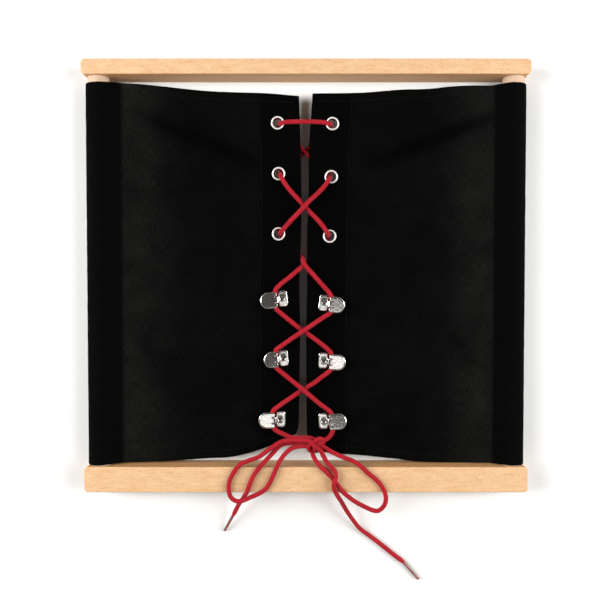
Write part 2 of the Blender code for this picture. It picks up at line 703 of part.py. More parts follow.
def hook_mesh():
    """One hook, stamped from sheet and bent: plate, hollow rivet, neck and tongue in one piece."""
    bore = HOOK_RIVET_BORE / 2
    outer = HOOK_RIVET_DIAMETER / 2
    rise = SEAT_GAP + HOOK_METAL / 2
    blank = add_object("hook_blank", plate_mesh(), None, None)
    neck = add_object("hook_neck", neck_mesh(), None, None)
    tongue = add_object("hook_tongue", tongue_mesh(), None, None)
    core = bore / 2
    solid = rolled_tube("hook_barrel", core, outer - core, [(outer, rise), (core, rise)], HOOK_RIVET_ROLL, 12)
    barrel = add_object("hook_barrel", solid, None, None, (HOOK_RIVET_PLACE, 0, 0))
    depth = CLOTH_FRONT - FACING_BACK + WASHER_THICKNESS + HOOK_RIVET_ROLL + OVERRUN
    hole = cylinder("hook_bore", bore, -depth, SEAT_GAP + HOOK_METAL + OVERRUN, 12, (HOOK_RIVET_PLACE, 0))
    drill = add_object("hook_bore", hole, None, None)
    for piece in (neck, tongue, barrel):
        cut(blank, piece, "UNION")
    cut(blank, drill)
    data = baked(blank)
    for piece in (barrel, drill, neck, tongue, blank):
        bpy.data.objects.remove(piece, do_unlink=True)
    return data


# The lace. Its laced run follows the eyelets and hooks, and its free ends lie where they fell.


def towards(start, end):
    return (Vector(end) - Vector(start)).to_2d().normalized()


def smooth_route(points, longest=2.5 * LACE_DIAMETER, most_turn=math.radians(20)):
    """Points of a smooth curve through the given ones, close together only where it turns."""
    points = [Vector(p) for p in points]
    ends = [points[0] * 2 - points[1], *points, points[-1] * 2 - points[-2]]
    dense = [points[0]]
    for corners in zip(ends, ends[1:], ends[2:], ends[3:]):
        knots = [0]
        for near, far in zip(corners, corners[1:]):
            knots.append(knots[-1] + math.sqrt((far - near).length))
        for step in range(1, 17):
            time = knots[1] + (knots[2] - knots[1]) * step / 16
            first = [between(corners[i], corners[i + 1], knots[i], knots[i + 1], time) for i in range(3)]
            second = [between(first[i], first[i + 1], knots[i], knots[i + 2], time) for i in range(2)]
            dense.append(between(second[0], second[1], knots[1], knots[2], time))
    kept = [dense[0]]
    heading = dense[1] - dense[0]
    for before, here, after in zip(dense, dense[1:], dense[2:]):
        far = (here - kept[-1]).length > longest
        if far or heading.angle(after - before) > most_turn:
            kept.append(here)
            heading = after - before
    if (kept[-1] - dense[-1]).length < LACE_RADIUS:
        kept.pop()
    kept.append(dense[-1])
    return kept


def between(start, end, start_time, end_time, time):
    share = (time - start_time) / (end_time - start_time)
    return start * (1 - share) + end * share


def tube(name, points, radius, finish, parent):
    """A round cord along points that are given in the frame's coordinates."""
    curve = bpy.data.curves.new(name, "CURVE")
    curve.dimensions = "3D"
    curve.bevel_depth = radius
    curve.bevel_resolution = 2
    curve.use_fill_caps = True
    spline = curve.splines.new("POLY")
    spline.points.add(len(points) - 1)
    for dot, point in zip(spline.points, points):
        dot.co = (*point, 1)
    return add_object(name, curve, finish, parent)


def least_gap(points, radius):
    """The least space that a tube leaves to itself, measured every half radius along it."""
    spots = []
    for start, end in zip(points, points[1:]):
        count = max(2, math.ceil((end - start).length / radius * 2))
        spots += [start + (end - start) * i / count for i in range(count)]
    spots = np.array(spots)
    along = np.concatenate([[0], np.cumsum(np.linalg.norm(np.diff(spots, axis=0), axis=1))])
    apart = np.linalg.norm(spots[:, None] - spots[None], axis=2)
    elsewhere = np.abs(along[:, None] - along[None]) > 2 * math.pi * radius
    return apart[elsewhere].min() - 2 * radius


def through_eyelet(side, level, front_way, back_way):
    """A lace's turn through an eyelet, from its front to its back."""
    x, y = eyelet_place(side, level)
    bore = EYELET_BORE / 2
    over = EYELET_CROWN + SEAT_GAP + LACE_RADIUS
    tail = CLOTH_FRONT - FACING_BACK + WASHER_THICKNESS + 2 * SEAT_GAP + EYELET_ROLL
    under = tail + SEAT_GAP + LACE_RADIUS
    points = []
    for out, up in EYELET_FRONT_SHARES:
        points.append((x + front_way.x * bore * out, y + front_way.y * bore * out, CLOTH_FRONT + over * up))
    for out, down in EYELET_BACK_SHARES:
        points.append((x + back_way.x * bore * out, y + back_way.y * bore * out, CLOTH_FRONT - under * down))
    return points


def through_gap(from_side, height_share):
    """A lace's way up through the gap, from behind one flap to the front of the other."""
    y = SLEEVE_BOTTOM + SLEEVE_LENGTH * height_share
    points = []
    for across, along, up in GAP_PASSAGE_SHARES:
        x = GAP_OFFSET + SIDES[from_side] * across * GAP_WIDTH / 2
        points.append((x, y + along * LACE_DIAMETER, AXIS_Z + up * LACE_DIAMETER))
    return points


def round_hook(side, level):
    """A lace's way round a hook's neck under its tongue, from above to below."""
    x, y, turn = hook_place(side, level)
    channel = HOOK_NECK_PLACE + HOOK_METAL / 2 + SEAT_GAP + LACE_RADIUS + LACE_SLACK / 2
    points = []
    for inward, along, up in HOOK_PASSAGE_SHARES:
        out = channel - inward * LACE_DIAMETER
        points.append((
            x + out * math.cos(turn),
            y + out * math.sin(turn) - along * LACE_DIAMETER,
            CLOTH_FRONT + lace_level() * up,
        ))
    return points


def crossing(start, end, z):
    """The point at a given height where a straight run between two points crosses the gap's middle."""
    share = (GAP_OFFSET - start[0]) / (end[0] - start[0])
    return (GAP_OFFSET, start[1] + (end[1] - start[1]) * share, z)


def laced_half(first, other, on_top):
    """One half of the lacing, from its top eyelet down to its last hook.

    It starts through the top eyelet of the first side and changes sides at each crossing.
    """
    top_eyelet = eyelet_place(first, 1)
    second = eyelet_place(other, 2)
    third = eyelet_place(first, 3)
    start = eyelet_place(other, 1)
    front_lift = LACE_DIAMETER + 2 * LACE_SLACK if on_top else 0
    back_drop = 0 if on_top else LACE_DIAMETER + 2 * LACE_SLACK
    front_z = CLOTH_FRONT + SEAT_GAP + LACE_RADIUS + LACE_SLACK + front_lift
    back_z = FACING_BACK - SEAT_GAP - LACE_RADIUS - SEAT_GAP - back_drop
    passage = through_gap(first, GAP_PASSAGE_HEIGHT_SHARES[first])
    points = through_eyelet(first, 1, towards(top_eyelet, start), towards(top_eyelet, second))
    points.append(crossing(top_eyelet, second, back_z))
    points += through_eyelet(other, 2, towards(second, third), towards(second, top_eyelet))[::-1]
    points.append(crossing(second, third, front_z))
    points += through_eyelet(first, 3, towards(third, second), towards(third, passage[0][:2]))
    points += passage
    for level, side in zip(LEVELS, (other, first, other)):
        turn = round_hook(side, level)
        if level > 1:
            points.append(crossing(points[-1], turn[0], front_z))
        points += turn
    return points


def laced_run():
    """The whole laced run: from the knot's left up one half, over the top span and down the other."""
    left_end = laced_half("right", "left", False)[:-2] + LACE_TO_KNOT["left"]
    right_end = laced_half("left", "right", True)[:-2] + LACE_TO_KNOT["right"]
    return smooth_route(left_end[::-1] + right_end)


def knot_coil():
    """The knot's winding: an oval coil along X whose ends run on straight for one diameter."""
    x, y = KNOT_PLACE
    z = CLOTH_FRONT + KNOT_CLEARANCE + LACE_RADIUS + KNOT_RADIUS * KNOT_FLATNESS_SHARE
    steps = 14
    points = []
    for step in range(KNOT_TURNS * steps + 1):
        turns = step / steps
        angle = 2 * math.pi * turns - math.pi / 2
        points.append(Vector((
            x + KNOT_PITCH * (turns - KNOT_TURNS / 2),
            y + KNOT_RADIUS * math.cos(angle),
            z + KNOT_RADIUS * KNOT_FLATNESS_SHARE * math.sin(angle),
        )))
    first = (points[0] - points[1]).normalized() * LACE_DIAMETER
    last = (points[-1] - points[-2]).normalized() * LACE_DIAMETER
    first.z = last.z = 0
    return [points[0] + first, *points, points[-1] + last]


def aglet(name, start, tip, finish, parent):
    """A film sleeve rolled tight round the end of the lace, thinner at its tip."""
    start, tip = Vector(start), Vector(tip)
    tip = start + (tip - start).normalized() * AGLET_LENGTH
    wide = AGLET_DIAMETER / 2
    taper = AGLET_LENGTH * AGLET_TAPER_SHARE
    profile = [(wide, 0), (wide, taper), (AGLET_TIP_DIAMETER / 2, AGLET_LENGTH)]
    shape = bmesh.new()
    turn = Vector((0, 0, 1)).rotation_difference(tip - start).to_matrix().to_4x4()
    rings = []
    for radius, along in profile:
        around = [2 * math.pi * i / 10 for i in range(10)]
        rings.append([shape.verts.new((radius * math.cos(a), radius * math.sin(a), along)) for a in around])
    for near, far in zip(rings, rings[1:]):
        for i in range(10):
            shape.faces.new((near[i], near[i - 1], far[i - 1], far[i]))
    shape.faces.new(rings[0])
    shape.faces.new(rings[-1])
    shape.transform(turn)
    return add_object(name, to_mesh(name, shape), finish, parent, start)


# Putting it together.


def fit_hardware(side, nickel, parent, shapes):
    """Sets a flap's eyelets and hooks into its cloth, each with the washer that holds it behind."""
    eyelet, eyelet_washer, hook, hook_washer = shapes
    for level in LEVELS:
        x, y = eyelet_place(side, level)
        place = (x, y, CLOTH_FRONT)
        add_object(f"{side}_eyelet_{level}", eyelet, nickel, parent, place)
        add_object(f"{side}_eyelet_washer_{level}", eyelet_washer, nickel, parent, place)
        x, y, turn = hook_place(side, level)
        add_object(f"{side}_hook_{level}", hook, nickel, parent, (x, y, CLOTH_FRONT), turn)
        x += HOOK_RIVET_PLACE * math.cos(turn)
        y += HOOK_RIVET_PLACE * math.sin(turn)
        add_object(f"{side}_hook_washer_{level}", hook_washer, nickel, parent, (x, y, CLOTH_FRONT))


def build():
    clear_scene()
    beech = material("beech", BEECH)
    dowel_beech = material("dowel_beech", DOWEL_BEECH)
    cotton = material("black_cotton", COTTON)
    nickel = material("nickel", NICKEL)
    red = material("red_lace", LACE_RED)
    film = material("aglet_film", AGLET_FILM)

    rail("top_rail", beech, TOP_RAIL_INNER, TOP_RAIL_WIDTH, 1, TOP_SOCKET_DEPTH)
    rail("bottom_rail", beech, BOTTOM_RAIL_INNER, BOTTOM_RAIL_WIDTH, -1, BOTTOM_SOCKET_DEPTH)

    hole = EYELET_BORE / 2 + EYELET_WALL + SEAT_GAP
    rivet_hole = HOOK_RIVET_DIAMETER / 2 + SEAT_GAP
    shapes = (
        eyelet_mesh(),
        washer_mesh("eyelet_washer", hole, WASHER_DIAMETER / 2, 16),
        hook_mesh(),
        washer_mesh("hook_washer", rivet_hole, HOOK_WASHER_DIAMETER / 2, 12),
    )
    axes = {}
    for side, sign in SIDES.items():
        dowel(f"{side}_dowel", dowel_beech, sign)
        axis = bpy.data.objects.new(f"{side}_flap_axis", None)
        bpy.context.collection.objects.link(axis)
        axis.location = (sign * AXIS_X, 0, AXIS_Z)
        axes[side] = axis
        flap(side, cotton, axis)
        fit_hardware(side, nickel, axis, shapes)

    laced = laced_run()
    coil = knot_coil()
    tube("lace", laced, LACE_RADIUS, red, axes["left"])
    tube("bow_knot", coil, LACE_RADIUS, red, axes["right"])
    tube("left_bow_loop", smooth_route(LEFT_LOOP), LACE_RADIUS, red, axes["left"])
    tube("right_bow_loop", smooth_route(RIGHT_LOOP), LACE_RADIUS, red, axes["right"])
    tube("left_lace_end", smooth_route(LEFT_END), LACE_RADIUS, red, axes["left"])
    tube("right_lace_end", smooth_route(RIGHT_END), LACE_RADIUS, red, axes["right"])
    for side, (start, tip) in AGLET_WAYS.items():
        aglet(f"{side}_aglet", start, tip, film, axes[side])
    print(f"Least gap in the knot's winding: {least_gap(coil, LACE_RADIUS) * 1000:.2f} mm")
    print(f"Least gap in the laced run: {least_gap(laced, LACE_RADIUS) * 1000:.2f} mm")


build()
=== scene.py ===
import math

import bmesh
import bpy
import numpy as np
from mathutils import Matrix, Vector, noise


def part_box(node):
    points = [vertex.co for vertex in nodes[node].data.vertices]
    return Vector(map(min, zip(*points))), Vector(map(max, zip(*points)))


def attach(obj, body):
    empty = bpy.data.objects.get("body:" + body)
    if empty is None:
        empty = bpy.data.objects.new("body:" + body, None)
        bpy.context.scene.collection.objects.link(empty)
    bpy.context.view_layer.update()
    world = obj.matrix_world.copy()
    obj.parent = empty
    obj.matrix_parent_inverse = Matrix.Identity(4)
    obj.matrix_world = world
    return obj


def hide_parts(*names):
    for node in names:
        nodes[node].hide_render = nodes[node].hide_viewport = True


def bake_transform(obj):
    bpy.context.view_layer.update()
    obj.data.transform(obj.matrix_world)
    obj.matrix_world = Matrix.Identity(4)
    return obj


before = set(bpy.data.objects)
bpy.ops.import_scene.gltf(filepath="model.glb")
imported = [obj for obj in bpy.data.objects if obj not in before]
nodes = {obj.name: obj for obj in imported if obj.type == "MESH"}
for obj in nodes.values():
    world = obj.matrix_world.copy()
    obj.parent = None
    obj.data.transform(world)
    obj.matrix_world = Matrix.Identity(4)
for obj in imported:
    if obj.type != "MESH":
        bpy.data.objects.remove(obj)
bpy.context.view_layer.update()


# The camera: it stands over the middle of the frame, about half a metre up, and is tilted a degree and a
# half. Its place and lens were fitted to the corners of both rails.

EYE = (0, -0.00715, 0.4863)
TILT = math.radians(-1.565)
LENS_MM = 39.6
SENSOR_MM = 36
NEAREST_SEEN = 0.01


def placed(name, data):
    """A new object in the scene, made of the data."""
    made = bpy.data.objects.new(name, data)
    bpy.context.collection.objects.link(made)
    return made


camera_data = bpy.data.cameras.new("camera")
camera_data.lens = LENS_MM
camera_data.sensor_width = SENSOR_MM
camera_data.clip_start = NEAREST_SEEN
camera = placed("camera", camera_data)
camera.location = EYE
camera.rotation_euler = (TILT, 0, 0)
bpy.context.scene.camera = camera
bpy.context.scene.view_settings.view_transform = "Standard"


# The rails: two straight bars of steamed beech, planed, rounded at every edge and waxed. The dowels are
# glued into blind holes in their inner faces. Beech has fine growth lines and short dark ray flecks that run
# along the bar and darker sawn ends. Faces toward and away from the cloth get a darker orange: painted shade.

BEECH_PALE = (0.63, 0.42, 0.24, 1)
BEECH_DARK = (0.53, 0.29, 0.135, 1)
BEECH_FLECK = (0.30, 0.13, 0.05, 1)
BEECH_END = (0.36, 0.19, 0.08, 1)
# The darker orange of the faces toward and away from the cloth: painted shade.
BEECH_SHADED_SIDE = (0.64, 0.31, 0.10, 1)
BEECH_RELIEF = 0.0001
TREE_HEART = (0.05, 0.07)
RINGS_PER_METRE = 520.0


def set_inputs(tree, node, inputs):
    """Sets a node's inputs, or links them where a socket is given."""
    for name, value in inputs.items():
        if isinstance(value, bpy.types.NodeSocket):
            tree.links.new(value, node.inputs[name])
        else:
            node.inputs[name].default_value = value


def add_node(tree, kind, inputs=None, **settings):
    """A node with its settings, its inputs set or linked."""
    made = tree.nodes.new(kind)
    for name, value in settings.items():
        setattr(made, name, value)
    set_inputs(tree, made, inputs or {})
    return made


def do_math(tree, operation, *values):
    """What one operation makes of the values."""
    return add_node(tree, "ShaderNodeMath", dict(enumerate(values)), operation=operation).outputs[0]


def split(tree, vector):
    """A vector's X, Y and Z."""
    return add_node(tree, "ShaderNodeSeparateXYZ", {"Vector": vector}).outputs


def stretched(tree, source, along, across):
    """The source's coordinates, scaled by one number along the grain and another across it."""
    scale = add_node(tree, "ShaderNodeCombineXYZ", {"X": along, "Y": across, "Z": across}).outputs[0]
    return add_node(tree, "ShaderNodeVectorMath", {0: source, 1: scale}, operation="MULTIPLY").outputs[0]


def cloudy(tree, where, detail=2.0, scale=5.0):
    """Soft noise from 0 to 1."""
    inputs = {"Vector": where, "Detail": detail, "Scale": scale}
    return add_node(tree, "ShaderNodeTexNoise", inputs).outputs["Fac"]


def celled(tree, where):
    """The distance to the nearest of many scattered points."""
    return add_node(tree, "ShaderNodeTexVoronoi", {"Vector": where, "Scale": 1.0}).outputs["Distance"]


def mixed(tree, share, first, second):
    """The first colour, with a share of it replaced by the second."""
    return add_node(tree, "ShaderNodeMix", {0: share, 6: first, 7: second}, data_type="RGBA").outputs[2]


def ramp(tree, value, low, high):
    """The value as a share of its way from low to high, eased at both ends."""
    inputs = {"Value": value, "From Min": low, "From Max": high}
    return add_node(tree, "ShaderNodeMapRange", inputs, interpolation_type="SMOOTHSTEP").outputs[0]


def new_group(name, inputs, outputs):
    """An empty node group with named sockets, a vector for each input and a number for each output."""
    made = bpy.data.node_groups.new(name, "ShaderNodeTree")
    for socket in inputs:
        made.interface.new_socket(socket, in_out="INPUT", socket_type="NodeSocketVector")
    for socket in outputs:
        made.interface.new_socket(socket, in_out="OUTPUT", socket_type="NodeSocketFloat")
    return made


def new_material(name):
    """A new material, with its node tree and its shader."""
    made = bpy.data.materials.new(name)
    made.use_nodes = True
    return made, made.node_tree, made.node_tree.nodes["Principled BSDF"]


def finish_material(tree, shader, inputs, relief, strength, depth):
    """Feeds the shader its inputs, and its relief as a bump of the strength and depth given."""
    bump = add_node(tree, "ShaderNodeBump", {"Height": relief, "Strength": strength, "Distance": depth})
    set_inputs(tree, shader, {**inputs, "Normal": bump.outputs["Normal"]})


grain = new_group("beech_grain", ["Grain"], ["Figure", "Fleck", "Pores"])
source = add_node(grain, "NodeGroupInput").outputs["Grain"]
slow = cloudy(grain, stretched(grain, source, 7, 55))
parts = split(grain, source)
over = do_math(grain, "ADD", parts["Y"], TREE_HEART[0])
under = do_math(grain, "ADD", parts["Z"], TREE_HEART[1])
squares = do_math(grain, "MULTIPLY_ADD", over, over, do_math(grain, "MULTIPLY", under, under))
rings = do_math(grain, "MULTIPLY", do_math(grain, "SQRT", squares), RINGS_PER_METRE)
late = do_math(grain, "POWER", do_math(grain, "FRACT", do_math(grain, "MULTIPLY_ADD", slow, 5.0, rings)), 2.5)
fine = do_math(grain, "MULTIPLY", cloudy(grain, stretched(grain, source, 60, 1400), 3.0), 0.45)
figure = do_math(grain, "MULTIPLY_ADD", late, 0.65, fine)
near = ramp(grain, celled(grain, stretched(grain, source, 300, 1500)), 0.42, 0.22)
flecked = ramp(grain, cloudy(grain, stretched(grain, source, 90, 400)), 0.42, 0.62)
fleck = do_math(grain, "MULTIPLY", near, flecked)
pores = cloudy(grain, stretched(grain, source, 350, 5200))
add_node(grain, "NodeGroupOutput", {"Figure": figure, "Fleck": fleck, "Pores": pores})

beech, tree, shader = new_material("beech")
where = add_node(tree, "ShaderNodeTexCoord").outputs
wood = add_node(tree, "ShaderNodeGroup", {"Grain": where["Object"]}, node_tree=grain).outputs
shade = ramp(tree, cloudy(tree, stretched(tree, where["Object"], 16, 60)), 0.3, 0.7)
tone = do_math(tree, "MULTIPLY_ADD", shade, 0.35, do_math(tree, "MULTIPLY", wood["Figure"], 0.6))
colour = mixed(tree, tone, BEECH_PALE, BEECH_DARK)
colour = mixed(tree, do_math(tree, "MULTIPLY", wood["Fleck"], 0.55), colour, BEECH_FLECK)
facing = split(tree, where["Normal"])
# Painted shade: faces that look up or down the frame take the darker, more orange tone.
shaded_sides = ramp(tree, do_math(tree, "ABSOLUTE", facing["Y"]), 0.6, 0.95)
colour = mixed(tree, do_math(tree, "MULTIPLY", shaded_sides, 0.6), colour, BEECH_SHADED_SIDE)
sawn = ramp(tree, do_math(tree, "ABSOLUTE", facing["X"]), 0.75, 0.95)
dots = ramp(tree, celled(tree, stretched(tree, where["Object"], 10, 2600)), 0.5, 0.1)
colour = mixed(tree, sawn, colour, mixed(tree, dots, BEECH_DARK, BEECH_END))
rough = do_math(tree, "MULTIPLY_ADD", sawn, 0.2, do_math(tree, "MULTIPLY_ADD", wood["Pores"], 0.16, 0.40))
relief = do_math(tree, "MULTIPLY_ADD", wood["Fleck"], -0.5, wood["Pores"])
waxed = {"Base Color": colour, "Roughness": rough, "Specular IOR Level": 0.4}
finish_material(tree, shader, waxed, relief, 0.35, BEECH_RELIEF)
for name in ("top_rail", "bottom_rail"):
    nodes[name].material_slots[0].material = beech


# The dowels: two round rods of beech, a little paler and pinker than the rails, with their grain along the
# frame's height. They are sanded and left without wax inside the flaps' sleeves.

DOWEL_PALE = (0.56, 0.41, 0.29, 1)
DOWEL_DARK = (0.46, 0.30, 0.20, 1)


def on_object(tree):
    """Places on the object, in metres."""
    return add_node(tree, "ShaderNodeTexCoord").outputs["Object"]


dowel_beech, tree, shader = new_material("dowel_beech")
parts = split(tree, on_object(tree))
turned = add_node(tree, "ShaderNodeCombineXYZ", {"X": parts["Y"], "Y": parts["X"], "Z": parts["Z"]})
wood = add_node(tree, "ShaderNodeGroup", {"Grain": turned.outputs[0]}, node_tree=grain).outputs
colour = mixed(tree, wood["Figure"], DOWEL_PALE, DOWEL_DARK)
colour = mixed(tree, do_math(tree, "MULTIPLY", wood["Fleck"], 0.5), colour, BEECH_FLECK)
rough = do_math(tree, "MULTIPLY_ADD", wood["Pores"], 0.2, 0.5)
finish_material(tree, shader, {"Base Color": colour, "Roughness": rough}, wood["Pores"], 0.4, BEECH_RELIEF)
for name in ("left_dowel", "right_dowel"):
    nodes[name].material_slots[0].material = dowel_beech


# The flaps: black cotton, cut double at the gap and hemmed above and below, with a sleeve sewn round the
# dowel at its other side. Each is one sheet, cupped between its seams and drawn into soft folds by the
# lace, with its cut holes under the eyelets and hooks.

CLOTH = 0.0008
CLOTH_FRONT = 0.0104
DOWEL_AXIS = (0.1455, 0.010)
DOWEL_DIAMETER = 0.015
SLEEVE_ROOM = 0.0003
SLEEVE_BOTTOM = -0.13185
SLEEVE_LENGTH = 0.2687
SLEEVE_WAVE = 0.0003
SEAM_SETBACKS = {"left": 0.0174, "right": 0.0142}
GAP_MIDDLE = -0.0015
GAP_WIDTH = 0.0054
FACING_WIDTH = 0.0297
HEM_WIDTH = 0.0075
STITCH_INSET = 0.0016
FOLD_STEP = 0.0008
EDGE_ROUND = 0.0008
CLOTH_SAG = 0.0011
FOLD_HEIGHT = 0.0013
FOLD_REACH = 0.008
# Each fold's two ends, as shares of the way in from the dowel and up, and its strength.
FOLD_SHARES = {
    "left": (((0.10, 0.935), (0.92, 0.755), 1.1), ((0.16, 0.17), (0.78, 0.19), 0.4)),
    "right": (((0.03, 0.925), (0.76, 0.775), 1.1), ((0.14, 0.16), (0.84, 0.22), 0.4)),
}
# How far each flap's top edge drops, its bottom edge rises and its gap edge wanders at the most.
EDGE_WANDERS = {"left": (0.0102, 0.021, 0.0008), "right": (0.0083, 0.0101, 0.0034)}
CORNER_FLARES = {"left": 0.0022, "right": 0}
CORNER_FLARE_SHARE = 0.04
# The share of that way that each edge has gone: the top and bottom edges at shares of the way from the
# dowel to the gap, and the gap edge at shares of its height.
EDGE_SHARES = {
    "left": (
        ((0, 0.2), (0.05, 0.13), (0.12, 0.06), (0.25, 0.16), (0.4, 0.37), (0.53, 0.55), (0.7, 0.67),
         (0.85, 0.75), (1, 0.93)),
        ((0, 0), (0.1, 0.02), (0.2, 0.02), (0.3, 0.035), (0.42, 0.08), (0.55, 0.14), (0.67, 0.19),
         (0.74, 0.29), (0.85, 0.53), (1, 0.97)),
        ((0, -1), (0.1, -0.9), (0.31, 0), (0.47, -0.6), (0.6, 0.9), (0.84, 0.6), (1, -0.9)),
    ),
    "right": (
        ((0, 0.28), (0.05, 0.24), (0.12, 0.26), (0.21, 0.24), (0.31, 0.31), (0.42, 0.5), (0.55, 0.57),
         (0.75, 0.85), (1, 0.93)),
        ((0, 0), (0.13, 0), (0.27, 0), (0.41, 0.03), (0.48, 0.1), (0.58, 0.28), (0.65, 0.39),
         (0.78, 0.58), (0.87, 0.65), (1, 1)),
        ((0, 0.15), (0.31, 0.3), (0.47, 0.12), (0.6, 0.12), (0.72, -0.18), (0.84, -0.24), (1, -1)),
    ),
}
PUCKER_HEIGHT = 0.00016
PUCKER_LENGTH = 0.0055
PUCKER_REACH = 0.0030
SEAM_DEPTH = 0.00022
SEAM_REACH = 0.0007
CREASE_HEIGHT = 0.00035
CREASE_LENGTH = 0.045
# Where the cloth's mesh has rows beside a hem's stitches, and how far the facing's rows stay from its edge
# and from its stitches.
HEM_ROWS = (0.0025, 0.0042, 0.0054, 0.0066, 0.0073)
FACING_ROWS = (0.003, 0.0018)
WELD_DISTANCE = 0.000004
COTTON_THREADS = 1900
COTTON_BLACK = (0.0003, 0.0003, 0.0003, 1)
COTTON_FADED = (0.0105, 0.0105, 0.0098, 1)
COTTON_FADING = (0.11, 0.46)
FADED_REACH = 0.026
PATCH_LENGTH = 0.013
FACING_FADING = 0.04
SLEEVE_FADING = 0.11
FOLD_SHADE = 0.85
COTTON_RELIEF = 0.00012
COTTON_LINT = (0.012, 0.012, 0.012, 1)
EYELET_HOLE = 0.0069
RIVET_HOLE = 0.0042


def course(table, share):
    """The smooth course through a table of (share, value) points."""
    at, value = np.array(table, float).T
    slope = np.gradient(value, at)
    share = np.clip(share, 0, 1)
    span = np.clip(np.searchsorted(at, share, side="right") - 1, 0, len(at) - 2)
    width = at[span + 1] - at[span]
    t = (share - at[span]) / width
    start = value[span] * (1 + 2 * t) * (1 - t) ** 2 + slope[span] * width * t * (1 - t) ** 2
    return start + value[span + 1] * (3 - 2 * t) * t**2 - slope[span + 1] * width * t**2 * (1 - t)


def waver(x, y, length, seed):
    """Smooth noise from -1 to 1 over a field of points."""
    found = [noise.noise((float(a) / length, float(b) / length, seed)) for a, b in zip(x.ravel(), y.ravel())]
    return np.array(found).reshape(x.shape)


def flap_field(side, away, up):
    """Where points of a flap lie, away from its gap edge and up its height."""
    sign = -1 if side == "left" else 1
    tops, bottoms, gaps = EDGE_SHARES[side]
    drop, rise, wander = EDGE_WANDERS[side]
    edge = GAP_MIDDLE + sign * (GAP_WIDTH / 2 - wander * course(gaps, up))
    edge = edge + sign * CORNER_FLARES[side] * np.clip(1 - up / CORNER_FLARE_SHARE, 0, 1) ** 2
    x = edge + sign * away
    across = np.clip((DOWEL_AXIS[0] - sign * x) / (DOWEL_AXIS[0] - sign * edge), 0, 1)
    low = SLEEVE_BOTTOM + rise * course(bottoms, across)
    high = SLEEVE_BOTTOM + SLEEVE_LENGTH - drop * course(tops, across)
    return x, low + (high - low) * up, high - low


def folds(side, x, y):
    """How much of a fold's full height points have."""
    sign = -1 if side == "left" else 1
    found = np.zeros_like(x)
    for (x0, y0), (x1, y1), strength in FOLD_SHARES[side]:
        start = np.array((sign * DOWEL_AXIS[0] * (1 - x0), SLEEVE_BOTTOM + SLEEVE_LENGTH * y0))
        run = np.array((sign * DOWEL_AXIS[0] * (1 - x1), SLEEVE_BOTTOM + SLEEVE_LENGTH * y1)) - start
        along = np.clip(((x - start[0]) * run[0] + (y - start[1]) * run[1]) / (run @ run), 0, 1)
        off = np.hypot(x - start[0] - run[0] * along, y - start[1] - run[1] * along)
        found += strength * 2 * np.sqrt(along * (1 - along)) * np.exp(-((off / FOLD_REACH) ** 2))
    return found


def fading_and_fold_shade(side, x, y, away):
    """How far the dye has worn away, most beside the sleeve, least on the facing; folds get painted shade."""
    low, high = COTTON_FADING
    inward = DOWEL_AXIS[0] - SEAM_SETBACKS[side] - np.abs(x)
    share = low + (high - low) * np.exp(-((inward / FADED_REACH) ** 2))
    share *= 1 + 0.45 * waver(x, y, CREASE_LENGTH, 21) + 0.4 * waver(x, y, PATCH_LENGTH, 4)
    share = np.where(away < FACING_WIDTH, FACING_FADING, share)
    # Painted shade: the share drops along the folds, so they show darker.
    return share * (1 - FOLD_SHADE * np.clip(folds(side, x, y), 0, 1) ** 2)


def flap_relief(side, x, y, away, up, height):
    """How far the cloth stands in front of its flat plane."""
    sign = -1 if side == "left" else 1
    facing = GAP_MIDDLE + sign * (GAP_WIDTH / 2 + FACING_WIDTH + FOLD_STEP)
    seam = sign * (DOWEL_AXIS[0] - SEAM_SETBACKS[side])
    calm = np.sin(math.pi * np.clip((x - facing) / (seam - facing), 0, 1))
    seed = 3 if side == "left" else 8
    creases = CREASE_HEIGHT * waver(x, y, CREASE_LENGTH, seed)
    lift = (FOLD_HEIGHT * folds(side, x, y) - CLOTH_SAG + creases) * calm
    seam_away = abs(seam - (GAP_MIDDLE + sign * GAP_WIDTH / 2))
    hem = HEM_WIDTH - STITCH_INSET
    lines = (
        (np.abs(away - (FACING_WIDTH - STITCH_INSET)), y),
        (np.abs(away - seam_away), y),
        (np.abs(up * height - hem), x),
        (np.abs((1 - up) * height - hem), x),
    )
    for number, (off, along) in enumerate(lines):
        wave = waver(along, np.full_like(along, number), PUCKER_LENGTH, seed)
        lift += PUCKER_HEIGHT * wave * np.exp(-((off / PUCKER_REACH) ** 2))
        lift -= SEAM_DEPTH * np.exp(-((off / SEAM_REACH) ** 2))
    return lift


def rounded(distance):
    """The share of its thickness that cloth has at a distance from its folded edge."""
    inward = np.clip(distance / EDGE_ROUND, 0, 1)
    return np.sqrt(1 - (1 - inward) ** 2)


def new_mesh(name, points, faces, **layers):
    """A mesh of points and faces, with a named layer of coordinates for each list given."""
    data = bpy.data.meshes.new(name)
    data.from_pydata(points, [], faces)
    for layer, grid in layers.items():
        data.uv_layers.new(name=layer).data.foreach_set("uv", np.array(grid, np.float32).ravel())
    return data


